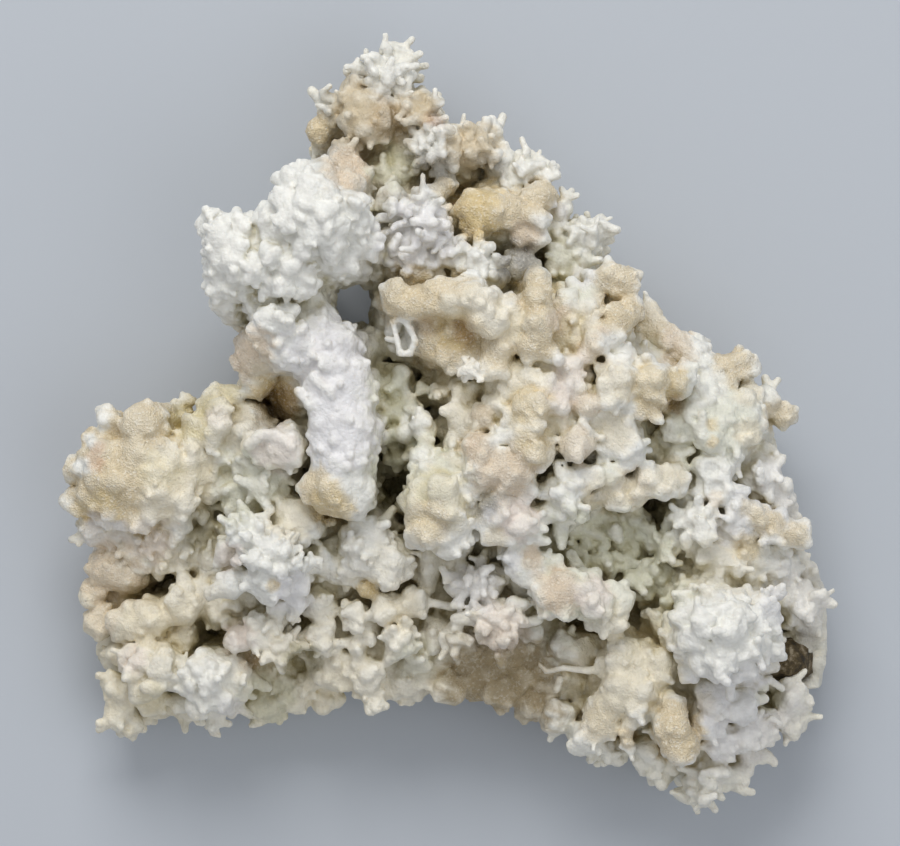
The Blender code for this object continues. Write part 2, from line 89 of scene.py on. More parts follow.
# How strongly tips are whitened, how strongly painted shade darkens the lowest parts and the hollows, and how
# high the sugary grain is
TIP_SHARE = 0.45
LOW_SHADE_SHARE = 0.55
HOLLOW_SHADE_SHARE = 0.8
GRAIN_HEIGHT = 0.16

GOLDEN_TURN = math.pi * (3 - math.sqrt(5))

# The through hole, and how many knobs make its rim ragged
HOLE = [(-36, 49, -20, 9.0), (-36, 49, 140, 8.6)]
RIM_KNOBS = 70

# The crust behind the growths: centre and half sizes of each lump
CRUST = [
    (-116, -88, 16, 25, 26, 22), (-112, -30, 34, 30, 22, 22), (-80, -56, 26, 28, 30, 30),
    (-82, -12, 38, 22, 18, 24), (-64, -90, 20, 30, 21, 24), (-42, -46, 28, 28, 34, 32),
    (-20, -86, 38, 36, 26, 15), (18, -86, 38, 34, 26, 15), (-12, -34, 14, 30, 36, 22),
    (-8, 4, 16, 28, 32, 24), (-54, 22, 40, 20, 24, 38), (-60, 62, 38, 17, 18, 40), (-4, 72, 34, 24, 26, 32),
    (0, 40, 52, 24, 18, 28), (42, 16, 52, 46, 44, 32), (26, 84, 34, 22, 22, 32), (-22, 98, 36, 18, 16, 22),
    (52, 55, 30, 18, 17, 28), (-20, 50, 38, 13, 18, 32), (-30, 33, 40, 14, 9, 28), (72, -8, 40, 22, 18, 32),
    (-14, 114, 32, 20, 22, 24), (-26, 132, 28, 15, 13, 17), (80, 20, 40, 26, 24, 34),
    (26, -40, 34, 24, 24, 36), (106, -3, 36, 28, 27, 32), (70, -52, 16, 34, 34, 22),
    (112, -46, 32, 28, 30, 30), (112, -84, 34, 26, 28, 36), (80, -104, 30, 26, 22, 28),
    (104, -126, 24, 26, 18, 24), (44, -98, 32, 20, 18, 18), (0, -64, 36, 20, 14, 18),
    (-48, -88, 30, 16, 18, 20),
]

# Hollows in the crust: the arch under the lower edge, and the pits between the branches
HOLLOWS = [
    (0, -98, 0, 46, 46, 25), (10, 20, 0, 60, 60, 14), (84, -50, 0, 26, 34, 9), (-118, -66, 62, 12, 4.5, 20),
    (-95, -42, 60, 8, 8, 22), (-93, -84, 52, 6.5, 5, 18), (-57, -94, 52, 6, 6, 16), (-22, -16, 66, 8, 16, 24),
    (64, -50, 62, 22, 12, 22), (86, -68, 60, 9, 9, 18), (-67, 10, 84, 7, 7, 10), (80, 1, 88, 4, 5, 22),
    (47, -15, 92, 4.5, 5, 24), (131, -109, 54, 5, 4, 14),
]

# Growths by region, each a list of points with a radius: one point is a knob, several are a limb
LEFT_TAN_LOBE = [
    [(-131, -20, 57, 16), (-112, -20, 57, 16), (-96, -11, 54, 13)],
    [(-120, -8, 63, 10), (-120, 1, 66, 6.5), (-119, 7, 67, 4.5)], [(-137, -12, 60, 7.5)],
    [(-139, -28, 54, 10)], [(-147, -29, 52, 5), (-152, -29, 52, 3)], [(-141, -38, 48, 5.5)],
    [(-126, -32, 57, 9)], [(-114, -30, 60, 7.5)], [(-106, -33, 58, 5.5)], [(-97, -25, 58, 5)],
    [(-104, -9, 60, 6), (-98, -3, 62, 6.5), (-90, 8, 62, 5.5), (-85, 13, 62, 5)],
    [(-90, 5, 69, 5), (-92, -4, 68, 5)], [(-80, -3, 60, 11)], [(-133, 2, 61, 5)], [(-140, -5, 60, 3.8)],
    [(-144, -17, 57, 3.6)],
]
LEFT_MIDDLE = [
    [(-140, -43, 44, 5.5)], [(-132, -44, 44, 6)], [(-125, -44, 46, 6)], [(-134, -49, 38, 4.5)],
    [(-118, -46, 44, 8), (-108, -45, 46, 8)], [(-124, -50, 46, 5), (-120.5, -57, 47, 2.8)],
    [(-113, -52, 46, 4.5), (-115, -56, 45, 3)], [(-104, -50, 46, 6)],
    [(-107, -53, 46, 3.5), (-105, -59, 45, 2.5)], [(-100, -50, 46, 4), (-98.5, -54, 45, 2.6)],
    [(-101, -40, 48, 4), (-95, -37, 48, 2.2)], [(-80, -28, 56, 10)], [(-70, -20, 64, 11)],
    [(-88, -22, 54, 8)], [(-66, -28, 60, 8)],
]
LOWER_LEFT = [
    [(-135, -57, 40, 8.5), (-126, -60, 38, 8)], [(-140, -66, 36, 6.5)], [(-129, -69, 30, 7)],
    [(-138, -78, 34, 7)], [(-127, -80, 42, 8.5), (-117, -77, 46, 9)], [(-105, -72, 48, 8.5)],
    [(-103, -66, 50, 4), (-103, -62, 50, 2)], [(-96, -66, 48, 4), (-96, -61, 48, 2.2)], [(-91, -73, 44, 6.5)],
    [(-105, -84, 40, 7.5)], [(-131, -92, 34, 5), (-137, -92, 33, 3)], [(-124, -93, 40, 6.5)],
    [(-114, -96, 46, 9.5)], [(-130, -106, 34, 7)], [(-117, -108, 38, 8)],
    [(-130, -114, 30, 8), (-127, -121, 28, 5)], [(-104, -103, 50, 6)], [(-96, -99, 52, 9)],
    [(-87, -97, 50, 7.5)], [(-86, -105, 48, 7)], [(-106, -111, 42, 4.5)], [(-99, -111, 44, 5.5)],
    [(-92, -110, 46, 5.5), (-92, -122.5, 42, 3.3)], [(-84, -109, 38, 5), (-85, -116, 36, 3)],
    [(-80, -101, 46, 5.5), (-73, -103, 44, 3.4)], [(-115, -113, 24, 7)], [(-104, -114, 24, 6)],
    [(-72, -111, 28, 8)], [(-73, -116, 24, 4)], [(-66, -114, 24, 4), (-66, -118, 22, 2.2)],
    [(-61, -105, 32, 9)], [(-53, -101, 38, 4.5)], [(-48, -107.5, 30, 7)],
]
WHITE_STAR = [
    [(-75, -46, 76, 9), (-66, -48, 76, 9)], [(-70, -59, 76, 9)], [(-61, -62, 72, 7)],
    [(-84, -63, 72, 6), (-93, -66, 70, 4)], [(-85, -50, 64, 6.5)], [(-79, -40, 74, 4), (-79, -34, 74, 2.4)],
    [(-58, -55, 76, 3.5), (-49, -53, 75, 2.2)], [(-59, -70, 66, 5), (-60, -79, 62, 2.4)],
    [(-66, -72, 62, 4), (-67, -81, 60, 3)], [(-58, -38, 66, 11)], [(-82, -84, 56, 6.5)],
    [(-72, -83, 60, 7.5)], [(-64, -88, 58, 6)], [(-50, -84, 56, 6), (-57, -84, 56, 4)], [(-50, -72, 54, 7.5)],
    [(-48, -54, 58, 7)],
]
POPCORN_HEAD = [
    [(-60, 79, 98, 15), (-48, 86, 102, 15.5)], [(-50, 95, 102, 11)], [(-82, 74, 92, 12)],
    [(-84, 60, 88, 11.5)], [(-62, 64, 94, 14)], [(-44, 70, 96, 11)], [(-35, 78, 93, 9)], [(-90, 80, 90, 6.5)],
    [(-89, 66, 86, 6)], [(-87, 51, 84, 7)], [(-70, 48, 86, 9), (-62, 34, 90, 11)],
]
ARM = [
    [(-54, 42, 82, 13), (-46, 30, 84, 14), (-41, 14, 84, 14), (-39, -2, 85, 14), (-41, -24, 83, 13)],
    [(-73, 31, 70, 11.5)], [(-74, 20, 66, 8)], [(-52, -24, 84, 6.5)], [(-62, -8, 80, 9)],
    [(-76, -8, 78, 4), (-68, -13, 79, 4)],
]
SPIRE = [
    [(-24, 138, 50, 8.5), (-17, 147, 50, 5.5)], [(-30, 125, 54, 12)], [(-13, 127, 52, 9)],
    [(-42, 126, 46, 7), (-50, 119, 46, 5.5)], [(-37, 135, 48, 6)], [(-48, 131, 46, 3.5)],
    [(-40, 109, 60, 7), (-34, 97, 64, 6)], [(-4, 113, 58, 9)], [(9, 111, 56, 9)], [(19, 117, 52, 5.5)],
    [(23, 104, 52, 7)], [(33, 102, 50, 7)], [(0, 96, 62, 3.6)], [(46, 86, 50, 5)], [(58, 76, 50, 8)],
]
UPPER_MIDDLE = [
    [(14, 86, 70, 10), (26, 86, 68, 8)], [(38, 92, 62, 7)], [(37, 84, 68, 5)], [(12, 79, 70, 6)],
    [(31, 77, 66, 5)], [(37, 76, 64, 4.5)], [(-15, 72, 74, 10), (-6, 82, 74, 9)], [(-10, 62, 74, 8)],
    [(-20, 90, 68, 6)], [(-6, 92, 68, 5)], [(12, 66, 72, 7), (20, 60, 72, 6)], [(30, 64, 60, 9)],
    [(50, 66, 52, 8)],
]
TAN_RIDGE = [
   
    [
        (-18, 50, 92, 6.5), (-10, 50, 94, 6.5), (-2, 51, 96, 7),
        (12, 50, 98, 7.5), (15, 46, 98, 7.5), (25, 40, 94, 7),
    ],
    [(3, 48, 99, 4.5)], [(-2, 34, 80, 10), (8, 30, 82, 9)], [(22, 32, 92, 6.5), (21, 26, 92, 6)],
    [(37, 58, 92, 5), (37, 50, 96, 5.5), (38, 42, 98, 7), (36, 33, 96, 8)],
    [(47, 45, 86, 4.5), (47, 37, 84, 4)], [(28, 20, 90, 5.5), (35, 19, 92, 6)], [(30, 13, 92, 4)],
    [(35, 8, 96, 8), (33, 0, 96, 6), (34, -8, 94, 8), (34, -14, 90, 6.5)], [(45, 12, 92, 8.5)],
    [(50, 21, 90, 7.5)], [(56, 9, 92, 5), (57, 6, 92, 4)], [(53, -7, 90, 7)],
    [(68, 3, 84, 8), (70, -5, 82, 8)], [(67, 13, 92, 6.5), (69, 20, 92, 6.5)],
    [(77, 20, 86, 6.5), (82, 18, 88, 7), (92, 18, 82, 7)], [(82, 13, 88, 6), (82, 7, 87, 5)],
    [(70, 57, 82, 7), (66, 60, 82, 6)],
    [(75, 47, 84, 5), (69, 42, 88, 5.5), (62, 35, 90, 6), (56, 28, 90, 5)],
    [(60, 57, 80, 4), (56, 47, 82, 4.5), (52, 39, 82, 5), (50, 32, 82, 5)], [(68, 30, 84, 5.5)],
    [(16, 4, 90, 5)], [(14, -8, 94, 6.5)], [(16, -17, 94, 7), (27, -17, 92, 8), (33, -23, 88, 6)],
    [(23, -4, 92, 4)], [(7, 4, 80, 6), (12, 2, 82, 7)],
    [(-2, 44, 80, 10), (12, 40, 80, 12), (28, 40, 80, 11), (42, 36, 80, 11)],
    [(44, 22, 80, 13), (28, 14, 80, 12), (38, 0, 80, 13), (26, -10, 82, 10)],
    [(54, 8, 80, 12), (66, 10, 78, 11), (80, 14, 75, 10)], [(66, -3, 74, 10)],
    [(64, 36, 76, 9), (55, 44, 74, 9)], [(70, 48, 72, 8)],
]
HANGING_LOBES = [
    [(2, -18, 82, 8.5), (-1, -28, 84, 11.5), (-2, -37, 82, 13)], [(5, -7, 76, 6)],
    [(-14, 5, 66, 4.5), (-12, -2, 68, 5)],
    [(-13, 9, 70, 2.2), (-8, 4, 76, 2.4), (-6, -2, 78, 2.6), (-7, -10, 80, 2.8), (-9, -17, 80, 2.6)],
    [(24, -34, 84, 10), (33, -38, 82, 8)],
    [(33, -47, 78, 4), (36, -55, 76, 4.5), (42, -62, 77, 6), (46, -66, 78, 9)],
    [(46, -66, 76, 8), (58, -67, 74, 8), (66, -73, 68, 6), (67, -80, 62, 5)], [(46, -27, 82, 7)],
    [(46, -34, 78, 4), (47.5, -43, 76, 2.3)],
]
LOWER_MIDDLE = [
    [(-31, -47, 66, 11), (-22, -55, 64, 10)], [(-38, -56, 60, 7.5)], [(-30, -65, 60, 5)],
    [(-22, -73, 60, 6.5), (-12, -71, 60, 6.5)], [(-35, -75, 56, 5)], [(-19, -15, 56, 6)], [(-30, -80, 52, 7)],
    [(-17, -84, 58, 6)], [(-19, -86, 58, 4), (-22, -94, 54, 2.3)], [(-15, -86, 58, 4), (-13, -93, 54, 2.3)],
    [(-42, -92, 48, 6.5), (-45, -100, 46, 6)], [(-40, -98, 46, 4), (-39, -104, 46, 3)],
    [(-34, -86, 54, 4), (-34, -95, 52, 2.8)], [(-31, -99, 50, 7), (-28, -109, 46, 5)], [(-11, -92, 48, 7)],
    [(-16, -102, 46, 7)], [(2, -104.5, 46, 7)], [(-3, -82, 50, 8)], [(4, -84, 60, 5.5), (6, -95, 56, 2.4)],
    [(8, -86, 60, 4), (13, -91, 57, 2.2)], [(20, -75, 68, 7.5), (24, -82, 66, 8)], [(36, -82, 58, 5.5)],
    [(8, -62, 64, 7.5), (18, -62, 66, 8)], [(30, -62, 62, 5)], [(-4, -52, 60, 4), (-6, -60, 56, 5)],
    [(9, -48, 64, 3.5), (4, -56, 60, 3)], [(26, -50, 70, 3.4), (27, -58, 68, 3)], [(37, -110, 38, 8.5)],
    [(24, -105, 44, 9)], [(48, -88, 48, 7), (56, -90, 48, 7)],
]
TAN_BARS = [
    [(60, -27, 74, 5.5), (68, -25, 76, 6.5), (80, -23, 76, 6.5), (92, -20, 72, 6)], [(82, 42, 60, 5.5)],
    [(88, 36, 64, 5.5), (96, 30, 62, 4.5), (103, 26, 60, 4.5)], [(108, 25, 60, 5.5), (121, 25, 56, 5.5)],
    [(118, -32, 68, 4), (130, -38, 64, 4), (142, -44, 58, 3.6)],
    [(55, -18, 86, 2.6), (63, -19, 85, 2.8), (74, -16, 84, 2.6)],
]
RIGHT_FLANK = [
    [(98, 4, 66, 12), (118, 3, 62, 12)], [(104, 14, 66, 7)], [(112, 16, 62, 6)],
    [(122, 14, 56, 5.5), (129, 9, 52, 6)], [(136, 5, 48, 6)], [(107, -4, 72, 7.5)], [(125, -4, 66, 3.4)],
    [(114, -6, 70, 4), (117, -12, 66, 2.5)], [(93, -13, 66, 5.5)], [(107, -17, 68, 7), (109, -24, 67, 7.5)],
    [(100, -28, 62, 7)], [(94, -26, 70, 3)], [(97, -36, 70, 3.4)], [(101, -38, 64, 8)],
    [(97, -42, 66, 3.4), (98, -47, 64, 2.2)], [(88, -47, 58, 7)], [(127, -19, 54, 8.5)], [(130, -13, 48, 6)],
    [(134, -28, 48, 8), (140, -37, 44, 4.5)], [(116, -40, 62, 7.5)],
    [(124, -38, 62, 2.8), (123, -43, 62, 2.6)], [(106, -50, 62, 8)], [(113, -53, 60, 8)], [(122, -50, 56, 8)],
    [(132, -52, 50, 8)], [(108, -60, 58, 8)], [(122, -60, 52, 8)], [(136, -60, 44, 8)], [(142, -51, 40, 3.5)],
    [(145, -58, 38, 4)], [(143, -69, 42, 8)], [(146.5, -78, 38, 6.5)], [(146, -84, 30, 7)],
]
LOWER_RIGHT = [
    [(102, -73, 78, 9), (113, -74, 78, 11)], [(100, -86, 76, 9), (112, -88, 78, 10)], [(98, -68, 80, 3.6)],
    [(103, -92, 82, 3.8)], [(98, -97, 70, 4)], [(112, -97, 72, 5)], [(125, -72, 66, 7.5)],
    [(130, -75, 64, 6)], [(133, -67, 60, 3.4)], [(132, -82, 58, 4)], [(125, -86, 66, 5), (133, -91, 60, 4)],
    [(120, -98, 56, 7)], [(126, -104, 52, 5.5)], [(108, -107, 62, 8)], [(118, -112, 58, 8)],
    [(105, -118, 58, 8)], [(112, -126, 52, 8)], [(121, -122, 50, 8)], [(129, -119, 44, 7)],
    [(140, -110, 40, 7.5)], [(141, -118, 36, 6)], [(123, -131, 40, 6.5)],
    [(92, -112, 66, 6), (91, -119, 67, 7.5), (95, -126.5, 65, 8.8)],
    [(72, -104, 60, 9), (63, -118, 54, 7), (57, -126, 50, 6.5)], [(47, -117, 44, 7)], [(80, -104, 60, 8)],
    [(79, -112, 60, 6), (76, -117, 58, 4.5)], [(73, -122, 56, 3.2), (74, -128, 54, 2)], [(58, -128, 36, 4)],
    [(70, -130, 38, 5.5)], [(82, -129, 42, 6), (82, -137, 36, 3.2)], [(89, -139, 36, 4.5)],
    [(104, -144.5, 40, 8)], [(109, -139, 42, 7.5)], [(117, -140, 38, 4.5)],
    [(74, -94, 56, 11), (86, -96, 58, 9)],
]

# Tufts: centre, radius, fingers and how far they reach past the ball
TUFTS = [
    (-75, -46, 80, 8, 12, 7), (-66, -52, 80, 8, 11, 7), (-64, -88, 60, 6, 9, 7), (-110, -47, 48, 7, 8, 7),
    (-96, -101, 56, 7, 9, 5), (-24, 140, 54, 7, 11, 8), (-38, 130, 50, 6, 8, 8), (-9, 126, 54, 6, 8, 6),
    (-4, 112, 62, 7, 10, 7), (12, 112, 58, 6, 9, 7), (33, 102, 52, 5, 8, 6), (58, 77, 54, 5, 8, 6),
    (-10, 82, 78, 11, 14, 5), (-16, 68, 74, 8, 11, 5), (-1, 70, 74, 7, 9, 5), (14, 65, 76, 6, 9, 8),
    (22, -79, 70, 8, 13, 7), (13, -62, 68, 7, 8, 6), (48, -28, 84, 6, 9, 7), (-17, -84, 60, 5, 8, 5),
    (5, -85, 60, 5, 7, 5), (101, -38, 70, 6, 9, 5), (88, -48, 60, 6, 9, 7), (102, 33, 56, 3, 7, 5),
    (64, -128, 38, 5, 9, 6), (86, -136, 38, 5, 9, 5), (106, -143, 42, 7, 9, 4), (146, -72, 42, 5, 7, 4),
    (134, -32, 50, 5, 7, 4), (-35, -75, 58, 3, 6, 4),
]

# Clumps of round lumps like popcorn: centre, radius of the clump, lumps and their radius
POPCORN = [
    (-50, 84, 103, 16, 20, 5.5), (-83, 71, 93, 10, 12, 5.0), (-64, 64, 98, 12, 10, 5.0),
    (-36, 76, 97, 9, 7, 4.5), (-66, 40, 94, 9, 8, 4.5), (110, -82, 80, 15, 12, 6.4),
    (-116, -98, 46, 11, 10, 4.5), (-96, -104, 50, 10, 10, 4.5),
]

# Tints: display colour from 0 to 255, and how sugary the surface is from 0 to 1
TINTS = {
    "white": ((236, 236, 231), 0.10),
    # painted light: the cool tint is a lavender white standing for cool skylight falling on the calcite
    "cool": ((233, 232, 234), 0.15),
    "pink": ((233, 222, 213), 0.25),
    "cream": ((232, 223, 200), 0.40),
    # painted shade: the green and olive tints stand for the soft greenish shade in hollows and recesses
    "green": ((216, 216, 195), 0.20),
    "olive": ((158, 150, 112), 0.20),
    "moss": ((222, 210, 168), 0.60),
    "tan": ((226, 210, 178), 1.00),
    "dun": ((208, 193, 164), 0.30),
    "honey": ((222, 201, 154), 0.90),
    "peach": ((221, 204, 181), 0.70),
    "brown": ((158, 120, 66), 0.80),
    "rust": ((178, 108, 52), 0.60),
    # the wall tint is brownish crust, darkened further as painted shade where its faces turn away from the
    # light
    "wall": ((160, 142, 106), 0.50),
    "grey": ((150, 147, 142), 0.80),
    "dark": ((62, 52, 34), 0.90),
}

# Thin growths of their own: the ring-shaped shell, the little flower, the sickle, the curled thread and so on
DETAILS = [
    [(-20, 42, 90, 1.3), (-16, 43, 92, 1.3), (-13, 39, 93, 1.4), (-11, 34, 92, 1.4), (-13, 29, 90, 1.4)],
    [(-13, 29, 90, 1.4), (-17, 29, 90, 1.4), (-18, 34, 90, 1.2), (-19, 38, 90, 1.1), (-20, 42, 90, 1.3)],
    [(-18, 34, 90, 1.2), (-22, 35, 86, 1.3)],
    [(-16, 43, 92, 1.4), (-17, 49, 91, 2.2)],
    [(59, 41, 92, 1.6), (61, 45, 93, 1.7), (64, 45.5, 92, 1.2)],
    [
        (38.5, -95, 56, 0.9), (41.5, -98, 56, 1.1), (48, -96.5, 57, 1.2),
        (58, -97.5, 58, 1.6), (67, -97, 56, 2.2),
    ],
    [(44, -98, 38, 2.4), (47, -101, 54, 1.6), (45.5, -105.5, 53, 1.5)],
    [(45.5, 26.5, 92, 2.6), (45.5, 26.5, 104, 2.8)],
    [(-6, -70, 60, 1.8), (4, -72, 60, 1.8)],
    [(-52, -50, 60, 2.4), (-42, -44, 60, 1.6)],
    [(-27, -41, 66, 2.4), (-20, -33, 66, 1.9)],
    [(51, -51, 66, 2.4), (56, -59, 64, 2.6)],
    [(50, -38, 62, 3.2), (64, -44, 58, 2.4)],
    [(68, -50, 52, 2.0), (62, -57, 52, 1.7)],
    [(81, -75, 54, 2.2), (86, -75, 54, 2.4)],
    [(31, -72, 70, 2.2), (35.5, -69, 70, 1.9)],
    [(33, -78, 68, 2.3), (38, -77, 68, 2.1)],
    [(6, 55, 102, 1.2), (6.5, 49, 103, 1.4)],
    [(112, -136, 46, 1.3), (115, -133, 47, 1.2), (117, -134, 46, 1.1)],
    [(95, -137, 46.5, 1.5), (101, -138.5, 46.5, 1.7)],
    [(131, -101.5, 52, 1.7), (136, -105, 50, 1.5)],
    [(129, -119, 50, 1.3), (132, -117, 51, 1.3), (135, -119, 50, 1.3)],
    [(55, 2, 95, 2.0), (57, -1, 94, 1.9), (61, -4, 90, 1.5)],
    [(86, -3, 67, 2.4), (89, -7, 67, 2.2)],
    [(-51, 20, 96, 2.4), (-44, 13, 98, 2.0)],
    [(-57, 14, 92, 2.2), (-53, 9, 92, 1.8)],
    [(-77, -7, 84, 2.6), (-72, -3, 86, 2.4), (-66, -3, 87, 2.2), (-60, -8, 88, 2.2)],
    [(48, -42, 68, 1.9), (53, -37, 72, 2.0), (54, -38, 50, 2.8)],
    [(57, -36, 72, 1.9), (53, -31, 76, 2.2)],
    [(39, -27, 86, 2.2), (44, -26, 86, 2.4)],
    [(10, -15, 98, 1.2), (9, -18, 98, 1.1), (12, -17, 99, 1.1)],
    [(16.5, 115, 54, 2.2), (19.5, 123.5, 54, 1.9)],
    [(19, 113, 54, 1.6), (22.5, 120.5, 54, 1.2)],
    [(20, 108, 54, 2.0), (25, 113, 54, 1.8)],
    [(7.5, 119, 54, 1.4), (8.5, 125, 54, 1.0)],
    [(35, 105, 52, 1.5), (39, 110.5, 52, 1.0)],
    [(29, 107, 52, 2.4), (31, 110, 52, 1.8)],
    [(-30, 144, 50, 1.8), (-31, 151, 50, 1.2)],
    [(-44, 130, 48, 2.0), (-49, 132, 48, 1.4)],
    [
        (147, -58, 36, 4.5), (150, -64, 31, 3.0), (150, -71, 35, 4.6),
        (152, -77, 29, 3.2), (150.5, -84, 32, 4.6),
    ],
    [(150.5, -84, 32, 4.6), (152.5, -90, 25, 3.0), (151, -95, 29, 3.8), (150.5, -101, 23, 3.0)],
    [(150.5, -101, 23, 3.0), (147, -106, 28, 4.8), (143, -112, 33, 4.0)],
    [(149, -66, 22, 6), (150, -76, 14, 5), (149.5, -84, 22, 6), (150, -93, 14, 5), (148, -102, 18, 6)],
    [(116.5, -29.5, 64, 2.6), (126, -35, 61, 2.9), (135, -40, 57, 3.2), (142.5, -43, 52, 3.4)],
    [(91, 38, 64, 3.6), (97, 30, 66, 3.4), (104, 24, 66, 3.0)],
]

# Raised rings: centre, radius and thickness
RINGS = [
    (107, -17, 74, 3.8, 1.4),
    (109, -24.5, 73.5, 4.0, 1.5),
]

# The little flower: centre, reach of its petals and their thickness
FLOWER = (11, 22.5, 98, 6.5, 1.2)
PETALS = 9
